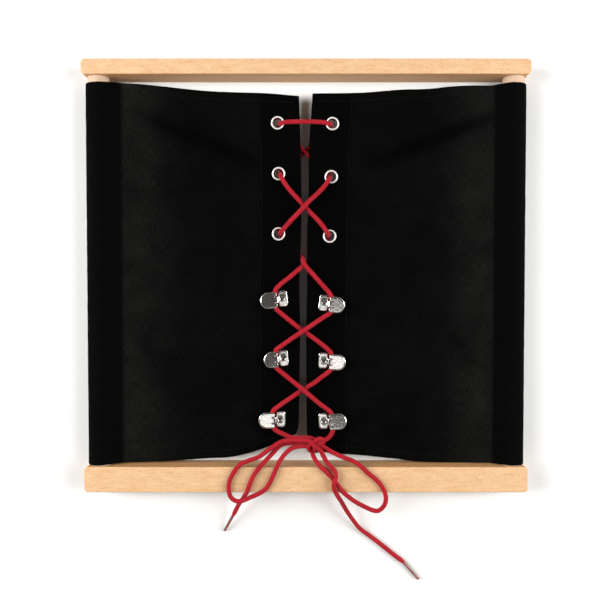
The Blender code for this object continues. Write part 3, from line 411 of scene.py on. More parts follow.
def sleeve_layers(side, level, end_round):
    """The sleeve's outside and inside, each as rings of points round the dowel at many levels."""
    sign = -1 if side == "left" else 1
    middle = DOWEL_DIAMETER / 2 + SLEEVE_ROOM + CLOTH / 2
    leave = math.acos(middle / SEAM_SETBACKS[side])
    turn = np.linspace(leave, 2 * math.pi - leave, 34)
    flat = np.linspace(0, 1, 6)[1:-1]
    touch = middle * np.array((math.cos(leave), math.sin(leave)))
    start = np.array((SEAM_SETBACKS[side], 0))
    slope = np.array([start + (touch - start) * share for share in flat])
    bend = middle * np.stack([np.cos(turn), np.sin(turn)], 1)
    section = np.vstack([slope, bend, slope[::-1] * (1, -1)])
    way = np.gradient(np.vstack([start, section, start]), axis=0)[1:-1]
    normal = np.stack([way[:, 1], -way[:, 0]], 1)
    normal /= np.linalg.norm(normal, axis=1)[:, None]
    loose = SLEEVE_WAVE * np.clip(-section[:, 0] / middle, 0, 1)
    ripple = loose * (1 + waver(level * 30 + 0 * loose, 0 * level + loose * 900, 1, 5 * sign)) / 2
    sleeve = []
    for layer in (1, -1):
        out = (layer * CLOTH / 2 * end_round)[..., None] * normal
        ring = section + out + ripple[..., None] * (-1, 0)
        ring_x = sign * (DOWEL_AXIS[0] - ring[..., 0])
        apart = np.abs(ring_x - flap_field(side, 0, level)[0])
        ring_y = flap_field(side, apart, level)[1]
        sleeve.append(np.stack([ring_x, ring_y, DOWEL_AXIS[1] + ring[..., 1]], 2))
    return sleeve


def flap_mesh(side):
    """The flap's cloth: its front, the outside of its sleeve and its back, and the sleeve's inside."""
    sign = -1 if side == "left" else 1
    seam = DOWEL_AXIS[0] - SEAM_SETBACKS[side]
    turned = EDGE_ROUND * np.array((0, 0.06, 0.2, 0.5, 1))
    step = np.array((0, FOLD_STEP / 2, FOLD_STEP))
    ends = np.sort([*turned, *HEM_ROWS, HEM_WIDTH - STITCH_INSET, *HEM_WIDTH + step]) / SLEEVE_LENGTH
    inner = np.linspace(ends[-1], 1 - ends[-1], 152)[1:-1]
    ups = np.concatenate([ends, inner, 1 - ends[::-1]])[:, None]
    stitch = FACING_WIDTH - STITCH_INSET
    facing = np.linspace(FACING_ROWS[0], stitch - FACING_ROWS[1], 11)
    near = [*turned, *facing, stitch - SEAM_REACH, stitch, stitch + SEAM_REACH, *FACING_WIDTH + step]
    reach = np.abs(sign * seam - flap_field(side, 0, ups)[0])
    spread = np.array([*np.linspace(0, 0.97, 36)[1:], 0.985, 0.995, 1])
    far = near[-1] + (reach - near[-1]) * spread
    away = np.hstack([np.broadcast_to(near, (len(ups), len(near))), far])
    ups = np.broadcast_to(ups, away.shape)
    x, y, height = flap_field(side, away, ups)
    end_off = np.minimum(ups, 1 - ups) * height
    doubled = np.clip((FACING_WIDTH + FOLD_STEP - away) / FOLD_STEP, 0, 1)
    doubled = np.maximum(doubled, np.clip((HEM_WIDTH + FOLD_STEP - end_off) / FOLD_STEP, 0, 1))
    doubled *= np.clip((reach - away) / (4 * FOLD_STEP), 0, 1)
    depth = CLOTH * (1 + doubled)
    full = np.minimum(rounded(away), rounded(end_off))
    top = DOWEL_AXIS[1] + CLOTH / 2 + flap_relief(side, x, y, away, ups, height)
    front = np.stack([x, y, top - depth / 2 * (1 - full)], 2)
    back = np.stack([x, y, top - depth / 2 * (1 + full)], 2)

    end_round = rounded(end_off[:, -1])[:, None]
    sleeve = sleeve_layers(side, ups[:, :1], end_round)
    tip = np.stack([front[:, -1, 0], front[:, -1, 1], top[:, -1] - CLOTH / 2], 1)[:, None]
    past_tip = (np.array((0.4 * sign, 0, 0)) * CLOTH * end_round)[:, None]
    outline = np.concatenate([front, sleeve[0], back[:, ::-1]], 1)
    hollow = np.concatenate([sleeve[1], tip - past_tip], 1)

    rows = len(outline)
    points = np.concatenate([outline.reshape(-1, 3), hollow.reshape(-1, 3)])
    faces, grid, wear = [], [], []
    shown = np.full(outline.shape[:2], SLEEVE_FADING)
    shown[:, :front.shape[1]] = fading_and_fold_shade(side, x, y, away)
    base = 0
    for loop in (outline, hollow):
        width = loop.shape[1]
        steps = np.linalg.norm(np.diff(loop[rows // 2], axis=0, append=loop[rows // 2][:1]), axis=1)
        lengths = np.concatenate([[0], np.cumsum(steps)])
        for i in range(rows - 1):
            for j in range(width):
                k = (j + 1) % width
                corners = ((i, j, j), (i, k, j + 1), (i + 1, k, j + 1), (i + 1, j, j))
                if loop is hollow:
                    corners = corners[::-1]
                faces.append([base + r * width + c for r, c, _ in corners])
                grid += [(lengths[c], float(loop[r, 0, 1])) for r, _, c in corners]
                wear += [(float(shown[r, c]) if loop is outline else 0, 0) for r, c, _ in corners]
        base += rows * width
    data = new_mesh(f"{side}_cloth", points.tolist(), faces, cut=grid, wear=wear)
    shape = bmesh.new()
    shape.from_mesh(data)
    bmesh.ops.remove_doubles(shape, verts=shape.verts, dist=WELD_DISTANCE)
    bmesh.ops.dissolve_degenerate(shape, dist=WELD_DISTANCE / 2, edges=shape.edges)
    bmesh.ops.recalc_face_normals(shape, faces=shape.faces)
    shape.to_mesh(data)
    shape.free()
    data.shade_smooth()
    return data


def over(piece):
    """The place on the cloth's front that lies over the middle of a piece of the part."""
    low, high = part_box(piece)
    return Vector(((low.x + high.x) / 2, (low.y + high.y) / 2, CLOTH_FRONT))


def closed_mesh(name, shape):
    """A mesh made of a closed shape, with its faces turned outward."""
    bmesh.ops.recalc_face_normals(shape, faces=shape.faces)
    data = bpy.data.meshes.new(name)
    shape.to_mesh(data)
    shape.free()
    return data


def hole_cutters(side):
    """One mesh of upright cylinders, where the flap's eyelets and hooks pass through it."""
    shape = bmesh.new()
    for level in (1, 2, 3):
        for kind, diameter in (("eyelet", EYELET_HOLE), ("hook", RIVET_HOLE)):
            place = Matrix.Translation(over(f"{side}_{kind}_washer_{level}"))
            bmesh.ops.create_cone(shape, cap_ends=True, segments=32, radius1=diameter / 2,
                                  radius2=diameter / 2, depth=10 * CLOTH, matrix=place)
    return closed_mesh(f"{side}_cutters", shape)


def mapped(tree, layer):
    """The coordinates in one of the mesh's own layers."""
    return add_node(tree, "ShaderNodeUVMap", uv_map=layer).outputs["UV"]


weave = new_group("plain_weave", ["Threads"], ["Height", "Slub"])
threads = add_node(weave, "NodeGroupInput").outputs["Threads"]
parts = split(weave, threads)
crowns = []
for across, along in (("X", "Y"), ("Y", "X")):
    turn = do_math(weave, "MULTIPLY", do_math(weave, "FLOOR", parts[across]), math.pi)
    crest = do_math(weave, "SINE", do_math(weave, "MULTIPLY_ADD", parts[along], math.pi, turn))
    lifted = do_math(weave, "MULTIPLY_ADD", crest, 0.5 if across == "X" else -0.5, 0.5)
    bulge = do_math(weave, "MULTIPLY", do_math(weave, "FRACT", parts[across]), math.pi)
    crowns.append(do_math(weave, "MULTIPLY", lifted, do_math(weave, "SINE", bulge)))
thick = cloudy(weave, stretched(weave, threads, 0.5, 0.02), 3.0)
thin = cloudy(weave, stretched(weave, threads, 0.05, 0.6), 1.0)
slub = do_math(weave, "MULTIPLY_ADD", thin, 0.4, do_math(weave, "MULTIPLY", thick, 0.7))
add_node(weave, "NodeGroupOutput", {"Height": do_math(weave, "MAXIMUM", *crowns), "Slub": slub})

cotton, tree, shader = new_material("black_cotton")
cut = mapped(tree, "cut")
threads = stretched(tree, cut, COTTON_THREADS, COTTON_THREADS)
cloth = add_node(tree, "ShaderNodeGroup", {"Threads": threads}, node_tree=weave).outputs
streak = ramp(tree, cloudy(tree, stretched(tree, cut, 800, 50)), 0.38, 0.64)
raised = do_math(tree, "MULTIPLY_ADD", cloth["Height"], 0.15, 0.5)
streaked = do_math(tree, "MULTIPLY_ADD", streak, 1.1, raised)
# This layer carries both the fading and the painted shade along the folds.
faded_and_shaded = do_math(tree, "MULTIPLY", streaked, split(tree, mapped(tree, "wear"))["X"])
colour = mixed(tree, faded_and_shaded, COTTON_BLACK, COTTON_FADED)
lint = ramp(tree, cloudy(tree, stretched(tree, cut, 900, 900), 4.0), 0.70, 0.82)
colour = mixed(tree, do_math(tree, "MULTIPLY", lint, 0.5), colour, COTTON_LINT)
relief = do_math(tree, "MULTIPLY_ADD", cloth["Slub"], 0.8, cloth["Height"])
rough = do_math(tree, "MULTIPLY_ADD", cloth["Height"], -0.1, 0.95)
matt = {"Base Color": colour, "Roughness": rough, "Specular IOR Level": 0.02}
finish_material(tree, shader, matt, relief, 0.5, COTTON_RELIEF)

flaps = {}
for side in ("left", "right"):
    flaps[side] = placed(f"{side}_cloth", flap_mesh(side))
    cutter = placed(f"{side}_cutter", hole_cutters(side))
    change = flaps[side].modifiers.new("holes", "BOOLEAN")
    change.object = cutter
    change.solver = "EXACT"
    bpy.context.view_layer.update()
    graph = bpy.context.evaluated_depsgraph_get()
    cut_mesh = bpy.data.meshes.new_from_object(flaps[side].evaluated_get(graph))
    flaps[side].modifiers.clear()
    flaps[side].data = cut_mesh
    bpy.data.objects.remove(cutter)
    cut_mesh.materials.clear()
    cut_mesh.materials.append(cotton)
    cut_mesh.set_sharp_from_angle(angle=math.radians(50))
    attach(flaps[side], f"{side}_flap")
    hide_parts(f"{side}_flap_cloth")


# The stitching: one row of black cotton thread down each sleeve's seam, one down the inner edge of the gap's
# facing and one along each hem. Lockstitch shows as short raised beads of thread on both faces.

STITCH_PITCH = 0.0028
STITCH_LENGTH = 0.0023
STITCH_THICKNESS = 0.00042
STITCH_SUNK = 0.00008
STITCH_SIDES = 6
# Places along a stitch and its thickness and lift there, as shares of its own length and thickness.
STITCH_SHARES = (
    (-0.5, 0.25, -1), (-0.44, 0.75, -0.2), (-0.25, 1, 0.35),
    (0.25, 1, 0.35), (0.44, 0.75, -0.2), (0.5, 0.25, -1),
)
# Between which shares of the flap's height the upright seams run, and how far the hems' stitches stay from
# the gap edge and from the sleeve's seam.
SEAM_SHARES = (0.012, 0.988)
HEM_ENDS = (0.004, 0.0012)
THREAD_BLACK = (0.0005, 0.0005, 0.0005, 1)
THREAD_SHEEN = (0.0014, 0.0014, 0.0013, 1)
THREAD_RELIEF = 0.00006

thread, tree, shader = new_material("sewing_thread")
ply = split(tree, mapped(tree, "ply"))
wound = do_math(tree, "MULTIPLY", do_math(tree, "ADD", ply["X"], ply["Y"]), 6 * math.pi)
twist = do_math(tree, "SINE", wound)
colour = mixed(tree, ramp(tree, twist, -0.6, 0.8), THREAD_BLACK, THREAD_SHEEN)
rough = do_math(tree, "MULTIPLY_ADD", twist, 0.06, 0.6)
spun = {"Base Color": colour, "Roughness": rough, "Specular IOR Level": 0.12}
finish_material(tree, shader, spun, twist, 0.6, THREAD_RELIEF)


def cloth_surface(side, away, up):
    """Points on the middle of a flap's cloth, and the cloth's front there."""
    x, y, height = flap_field(side, away, up)
    front = DOWEL_AXIS[1] + CLOTH / 2 + flap_relief(side, x, y, away, up, height)
    return np.stack([x, y, front], 1)


def seam_lines(side):
    """The four rows of stitches of a flap, each as many even steps of (away, up)."""
    sign = -1 if side == "left" else 1
    seam = abs(sign * (DOWEL_AXIS[0] - SEAM_SETBACKS[side]) - (GAP_MIDDLE + sign * GAP_WIDTH / 2))
    hem = (HEM_WIDTH - STITCH_INSET) / SLEEVE_LENGTH
    ups = np.linspace(*SEAM_SHARES, 400)
    aways = np.linspace(HEM_ENDS[0], seam - HEM_ENDS[1], 300)
    return [
        (np.full_like(ups, FACING_WIDTH - STITCH_INSET), ups),
        (np.full_like(ups, seam), ups),
        (aways, np.full_like(aways, hem)),
        (aways, np.full_like(aways, 1 - hem)),
    ]


def stitch_mesh(side):
    """Every stitch of a flap, on the front of its doubled cloth and on the back."""
    points, faces, grid = [], [], []
    for away, up in seam_lines(side):
        line = cloth_surface(side, away, up)
        for lowered, turned in ((0, 1), (2 * CLOTH, -1)):
            row = line - (0, 0, lowered)
            along = np.concatenate([[0], np.cumsum(np.linalg.norm(np.diff(row, axis=0), axis=1))])
            count = int(along[-1] / STITCH_PITCH)
            for number in range(count):
                middle = (number + 0.5) * along[-1] / count
                base = len(points)
                for at, size, lift in STITCH_SHARES:
                    here = middle + at * STITCH_LENGTH
                    soon = here + STITCH_LENGTH / 9
                    place = np.array([np.interp(here, along, row[:, axis]) for axis in range(3)])
                    ahead = np.array([np.interp(soon, along, row[:, axis]) for axis in range(3)])
                    heading = (ahead - place) / np.linalg.norm(ahead - place)
                    side_way = np.cross(heading, (0, 0, 1))
                    side_way /= np.linalg.norm(side_way)
                    place[2] += turned * (lift * STITCH_THICKNESS / 2 - STITCH_SUNK)
                    for corner in range(STITCH_SIDES):
                        turn = 2 * math.pi * corner / STITCH_SIDES
                        spoke = math.cos(turn) * side_way + np.array((0, 0, math.sin(turn)))
                        points.append(place + spoke * size * STITCH_THICKNESS / 2)
                rings = len(STITCH_SHARES)
                for i in range(rings - 1):
                    for j in range(STITCH_SIDES):
                        k = (j + 1) % STITCH_SIDES
                        ring = base + i * STITCH_SIDES
                        faces.append((ring + j, ring + k, ring + STITCH_SIDES + k, ring + STITCH_SIDES + j))
                        corners = ((i, j), (i, j + 1), (i + 1, j + 1), (i + 1, j))
                        grid += [(run / 2, round_it / STITCH_SIDES) for run, round_it in corners]
                for ring, turn in ((0, -1), (rings - 1, 1)):
                    faces.append([base + ring * STITCH_SIDES + j for j in range(STITCH_SIDES)][::turn])
                    grid += [(0, 0)] * STITCH_SIDES
    data = new_mesh(f"{side}_stitching", points, faces, ply=grid)
    shape = bmesh.new()
    shape.from_mesh(data)
    bmesh.ops.recalc_face_normals(shape, faces=shape.faces)
    shape.to_mesh(data)
    shape.free()
    data.shade_smooth()
    data.materials.append(thread)
    return data


for side in ("left", "right"):
    stitching = placed(f"{side}_stitching", stitch_mesh(side))
    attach(stitching, f"{side}_flap")


# The eyelets: each is drawn from thin brass sheet and nickel plated, with a satin face. Its barrel passes
# through a hole in the doubled cloth and is rolled over a flat washer behind it, which grips the cloth.

EYELET_PROFILE = (
    (0.00468, 0.00030), (0.00467, 0.00052), (0.00458, 0.00078), (0.00442, 0.00098), (0.00422, 0.00109),
    (0.00402, 0.00110), (0.00382, 0.00100), (0.00366, 0.00080), (0.00353, 0.00050), (0.00341, 0.00010),
    (0.00326, -0.00040), (0.00308, -0.00085), (0.00294, -0.00150), (0.00290, -0.00270), (0.00300, -0.00320),
    (0.00325, -0.00345), (0.00360, -0.00350), (0.00405, -0.00335), (0.00430, -0.00312), (0.00430, -0.00290),
    (0.00395, -0.00270), (0.00345, -0.00268), (0.00328, -0.00255), (0.00322, -0.00200), (0.00330, -0.00100),
    (0.00345, -0.00030), (0.00365, 0.00020), (0.00420, 0.00030),
)
EYELET_SIDES = 64
EYELET_FACE_RINGS = 8
NICKEL = (0.70, 0.67, 0.63, 1)
NICKEL_WORN = (0.52, 0.46, 0.38, 1)
NICKEL_RELIEF = 0.00011
SATIN_PALE = (0.86, 0.84, 0.81, 1)
SATIN_WORN = (0.62, 0.58, 0.52, 1)
SATIN_RELIEF = 0.00004


def join_rings(shape, rings):
    """Faces between each ring of vertices and the next, as one list for each pair of rings."""
    bands = []
    for near, far in zip(rings, rings[1:]):
        bands.append([shape.faces.new((near[i], near[i - 1], far[i - 1], far[i])) for i in range(len(near))])
    return bands


nickel, tree, shader = new_material("nickel")
where = on_object(tree)
dents = cloudy(tree, where, 3.0, 620.0)
haze = cloudy(tree, where, 4.0, 1500.0)
scored = cloudy(tree, stretched(tree, where, 500, 9000))
worn = do_math(tree, "MULTIPLY", ramp(tree, haze, 0.52, 0.78), 0.5)
colour = mixed(tree, worn, NICKEL, NICKEL_WORN)
rough = do_math(tree, "MULTIPLY_ADD", haze, 0.22, 0.08)
relief = do_math(tree, "MULTIPLY_ADD", scored, 0.05, dents)
plated = {"Base Color": colour, "Roughness": rough, "Metallic": 1}
finish_material(tree, shader, plated, relief, 0.5, NICKEL_RELIEF)

satin, tree, shader = new_material("satin_nickel")
haze = cloudy(tree, on_object(tree), 4.0, 1500.0)
colour = mixed(tree, ramp(tree, haze, 0.5, 0.8), SATIN_PALE, SATIN_WORN)
rough = do_math(tree, "MULTIPLY_ADD", haze, 0.2, 0.25)
plated = {"Base Color": colour, "Roughness": rough, "Metallic": 0.4}
finish_material(tree, shader, plated, haze, 0.3, SATIN_RELIEF)

for side in ("left", "right"):
    for level in (1, 2, 3):
        name = f"{side}_eyelet_{level}"
        middle = over(name)
        turns = [2 * math.pi * i / EYELET_SIDES for i in range(EYELET_SIDES)]
        shape = bmesh.new()
        rings = []
        for radius, up in EYELET_PROFILE:
            spokes = [Vector((radius * math.cos(turn), radius * math.sin(turn), up)) for turn in turns]
            rings.append([shape.verts.new(middle + spoke) for spoke in spokes])
        bands = join_rings(shape, rings + rings[:1])
        for face in sum(bands[EYELET_FACE_RINGS:], []):
            face.material_index = 1
        data = closed_mesh(f"{name}_ring", shape)
        data.shade_smooth()
        data.materials.append(satin)
        data.materials.append(nickel)
        ring = placed(f"{name}_ring", data)
        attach(ring, f"{side}_flap")
        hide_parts(name)
        nodes[f"{side}_eyelet_washer_{level}"].material_slots[0].material = nickel


# The hooks: each is stamped from nickel-plated steel sheet and bent up into a tongue that holds the lace
# against its square plate. A hollow rivet, drawn from the plate, passes through the flap and is rolled over
# a washer behind it. No two tongues stand quite level.

# How far each hook is turned out of level on its rivet, in degrees, from the top hook down.
HOOK_TURNS = {"left": (6, 5, 0), "right": (7, 3, -3)}
HOOK_METAL = 0.0007
HOOK_PLATE = (0.0066, 0.0116)
HOOK_PLATE_CORNER = 0.0019
HOOK_PLATE_LEVEL = 0.0011
HOOK_LENGTHS = {"left": (0.0189, 0.0168, 0.0184), "right": (0.0179, 0.0187, 0.0193)}
HOOK_WIDTH = 0.0109
HOOK_TONGUE_LEVEL = 0.0055
HOOK_LIP_DROPS = ((0.0006, 0), (0.0004, 0.00002), (0.00018, 0.00012), (0, 0.00036))
HOOK_TONGUE_BACK = 0.0073
HOOK_SHOULDER_RADIUS = 0.0015
HOOK_SLIT_END = 0.0086
HOOK_SLIT_MIDDLE = 0.0022
HOOK_RIVET_PLACE = 0.0036
HOOK_RIVET_BORE = 0.0026
HOOK_RIVET_DIAMETER = 0.0036
HOOK_RIVET_ROLL = 0.0007
HOOK_RIVET_DEPTH = 0.0034
HOOK_NECK_COURSE = (
    (0.00720, 0.00544), (0.00680, 0.00525), (0.00655, 0.00485), (0.00645, 0.00430), (0.00641, 0.00330),
    (0.00638, 0.00230), (0.00632, 0.00165), (0.00618, 0.00122), (0.00596, 0.00100), (0.00570, 0.00090),
)
HOOK_NECK_COLUMNS = 5
HOOK_COLUMNS = (-0.00545, -0.0052, -0.0049, -0.0044, -0.0037, -0.0030, -0.0024, -0.0019, -0.0010, 0,
                0.0010, 0.0019, 0.0024, 0.0030, 0.0037, 0.0044, 0.0049, 0.0052, 0.00545)
HOOK_STILL_LEVEL = 0.0015
# For each hook, in degrees: how far its tongue's tip dips, how far the tongue leans toward the bottom rail
# and how far the plate does.
HOOK_LEANS = {
    "left": ((0.5, -0.8, 5.6), (0.5, -1.0, 3.0), (-2.0, 1.5, 1.5)),
    "right": ((-1.5, 4.5, 5.0), (-1.8, 4.6, 4.6), (-1.0, -3.0, 1.5)),
}


def lip_drop(x, y, length):
    """How far the tongue's rolled edge lies under its flat middle."""
    radius = HOOK_WIDTH / 2
    beyond = max(x - length + radius, 0)
    inward = radius - math.hypot(beyond, y)
    at, drop = zip(*HOOK_LIP_DROPS[::-1])
    return float(np.interp(inward, at, drop))


def tongue_points(length, pitch, roll):
    """The middle of the tongue's and neck's metal: rows of points, none where there is no metal."""
    radius = HOOK_WIDTH / 2
    spans = []
    for y in HOOK_COLUMNS:
        corner = max(abs(y) - radius + HOOK_SHOULDER_RADIUS, 0)
        back = HOOK_TONGUE_BACK + HOOK_SHOULDER_RADIUS - math.sqrt(HOOK_SHOULDER_RADIUS**2 - corner**2)
        tip = length - radius + math.sqrt(max(radius**2 - y**2, 0))
        spans.append((back, max(HOOK_SLIT_END, back + HOOK_METAL), tip))
    rows = []
    for share in (1, 0.82, 0.45):
        row = [(slit + (back - slit) * share, y) for y, (back, slit, _) in zip(HOOK_COLUMNS, spans)]
        rows.append([point if abs(point[1]) > HOOK_SLIT_MIDDLE else None for point in row])
    for share in (0, 0.2, 0.42, 0.64, 0.80, 0.90, 0.95, 0.975, 0.99, 1):
        rows.append([(slit + (tip - slit) * share, y) for y, (_, slit, tip) in zip(HOOK_COLUMNS, spans)])
    flat = []
    for row in rows:
        flat.append([point and (*point, HOOK_TONGUE_LEVEL - lip_drop(*point, length)) for point in row])
    first = (len(HOOK_COLUMNS) - HOOK_NECK_COLUMNS) // 2
    for step, (x, z) in enumerate(HOOK_NECK_COURSE):
        share = step / (len(HOOK_NECK_COURSE) - 1)
        wide = 1 + 0.35 * (2 * share - 1) ** 4
        row = [None] * len(HOOK_COLUMNS)
        for i in range(first, first + HOOK_NECK_COLUMNS):
            row[i] = (x, HOOK_COLUMNS[i] * wide, z)
        flat.append(row)
    bend = Vector((HOOK_NECK_COURSE[1][0], 0, HOOK_TONGUE_LEVEL))
    lean = Matrix.Rotation(math.radians(pitch), 3, "Y") @ Matrix.Rotation(math.radians(roll), 3, "X")
    leaned = []
    for row in flat:
        moved = []
        for point in row:
            if point is None:
                moved.append(None)
                continue
            place = Vector(point)
            share = (place.z - HOOK_STILL_LEVEL) / (HOOK_TONGUE_LEVEL - HOOK_STILL_LEVEL)
            share = min(max(share, 0), 1)
            moved.append(place.lerp(bend + lean @ (place - bend), share))
        leaned.append(moved)
    return leaned


def hook_tongue(name, length, pitch, roll):
    """The tongue and its neck, as one bent sheet of smooth metal."""
    rows = tongue_points(length, pitch, roll)
    shape = bmesh.new()
    verts = [[point and shape.verts.new(point) for point in row] for row in rows]
    tongue_rows = len(rows) - len(HOOK_NECK_COURSE)
    chain = [(verts[i], verts[i + 1]) for i in range(tongue_rows - 1)]
    neck = [verts[3], *verts[tongue_rows:]]
    chain += [(near, far) for far, near in zip(neck, neck[1:])]
    for near, far in chain:
        for j in range(len(HOOK_COLUMNS) - 1):
            corners = (near[j], far[j], far[j + 1], near[j + 1])
            if all(corners):
                shape.faces.new(corners)
    return closed_mesh(name, shape)


def plate_outline(count):
    """Points round the plate's rounded square, as (angle, distance) from the rivet's middle."""
    length, width = HOOK_PLATE
    found = []
    for step in range(count):
        angle = 2 * math.pi * step / count
        way = Vector((math.cos(angle), math.sin(angle)))
        low, high = 0, length
        for _ in range(24):
            middle = (low + high) / 2
            x = HOOK_RIVET_PLACE + way.x * middle
            y = abs(way.y * middle)
            over_x = max(abs(x - length / 2) - length / 2 + HOOK_PLATE_CORNER, 0)
            over_y = max(y - width / 2 + HOOK_PLATE_CORNER, 0)
            outside = math.hypot(over_x, over_y) > HOOK_PLATE_CORNER
            low, high = (low, middle) if outside else (middle, high)
        found.append((way, low))
    return found


def hook_plate(name):
    """The plate with its hollow rivet: rings from the rivet's bore out to the plate's edge and back."""
    bore, barrel = HOOK_RIVET_BORE / 2, HOOK_RIVET_DIAMETER / 2
    top, low = HOOK_PLATE_LEVEL, HOOK_PLATE_LEVEL - HOOK_METAL
    roll, deep = HOOK_RIVET_ROLL, HOOK_RIVET_DEPTH
    edge = HOOK_METAL / 2
    profile = [
        (bore, 0, 0, -deep + roll), (bore, 0, 0, low), (bore * 1.06, 0, 0, top - edge / 2),
        (bore * 1.2, 0, 0, top + edge / 8), (bore * 1.35, 0, 0, top + edge / 3),
        (bore * 1.5, 0, 0, top + edge / 8), (bore * 1.7, 0, 0, top), (bore, 0.6, 0, top),
        (bore, 1, edge * 1.6, top), (bore, 1, edge * 0.7, top - edge * 0.12),
        (bore, 1, edge * 0.2, top - edge * 0.5), (bore, 1, 0, top - edge),
        (bore, 1, edge * 0.2, low + edge * 0.5), (bore, 1, edge * 0.7, low + edge * 0.12),
        (bore, 1, edge * 1.6, low), (barrel * 1.3, 0, 0, low), (barrel, 0, 0, low - edge),
        (barrel, 0, 0, -deep + roll), (barrel + roll, 0, 0, -deep + roll),
        (barrel + roll * 1.5, 0, 0, -deep + roll / 2), (barrel + roll, 0, 0, -deep + roll * 0.06),
        (barrel, 0, 0, -deep), (bore + roll * 0.33, 0, 0, -deep), (bore, 0, 0, -deep + roll * 0.5),
    ]
    outline = plate_outline(72)
    shape = bmesh.new()
    rings = []
    for radius, share, inset, level in profile:
        ring = []
        for way, reach in outline:
            distance = radius * (1 - share) + (reach - inset) * share
            ring.append(shape.verts.new((HOOK_RIVET_PLACE + way.x * distance, way.y * distance, level)))
        rings.append(ring)
    join_rings(shape, rings + rings[:1])
    data = closed_mesh(name, shape)
    data.shade_smooth()
    return data


def smooth_sheet(piece, thickness):
    """Gives a piece of bent sheet its thickness and smooth rounded edges, and applies both."""
    change = piece.modifiers.new("thickness", "SOLIDIFY")
    change.thickness = thickness
    change.offset = 0
    change.use_even_offset = True
    change = piece.modifiers.new("smooth", "SUBSURF")
    change.levels = change.render_levels = 2
    bpy.context.view_layer.update()
    made = bpy.data.meshes.new_from_object(piece.evaluated_get(bpy.context.evaluated_depsgraph_get()))
    piece.modifiers.clear()
    piece.data = made
    made.shade_smooth()


for side, sign in (("left", -1), ("right", 1)):
    for level in (1, 2, 3):
        name = f"{side}_hook_{level}"
        lean = math.radians(HOOK_TURNS[side][level - 1])
        turn = -lean if side == "right" else math.pi + lean
        rivet = over(f"{side}_hook_washer_{level}")
        pitch, tongue_lean, plate_lean = HOOK_LEANS[side][level - 1]
        roll = sign * (tongue_lean - plate_lean)
        settle = math.radians(sign * plate_lean)
        place = Matrix.Translation(rivet) @ Matrix.Rotation(turn, 4, "Z") @ Matrix.Rotation(settle, 4, "X")
        place = place @ Matrix.Translation((-HOOK_RIVET_PLACE, 0, 0))
        length = HOOK_LENGTHS[side][level - 1]
        tongue = placed(f"{name}_tongue", hook_tongue(f"{name}_tongue", length, pitch, roll))
        plate = placed(f"{name}_plate", hook_plate(f"{name}_plate"))
        smooth_sheet(tongue, HOOK_METAL)
        for piece in (tongue, plate):
            piece.data.transform(place)
            piece.data.materials.append(nickel)
            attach(piece, f"{side}_flap")
            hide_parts(name)
        nodes[f"{side}_hook_washer_{level}"].material_slots[0].material = nickel


# The lace: one round cotton cord, braided from twelve strands, six winding each way. Each strand goes
# over and under those that wind the other way, which is modelled in the cord's surface. The laced run is
# cut at the middle of the gap, where its halves part when the flaps are lifted.

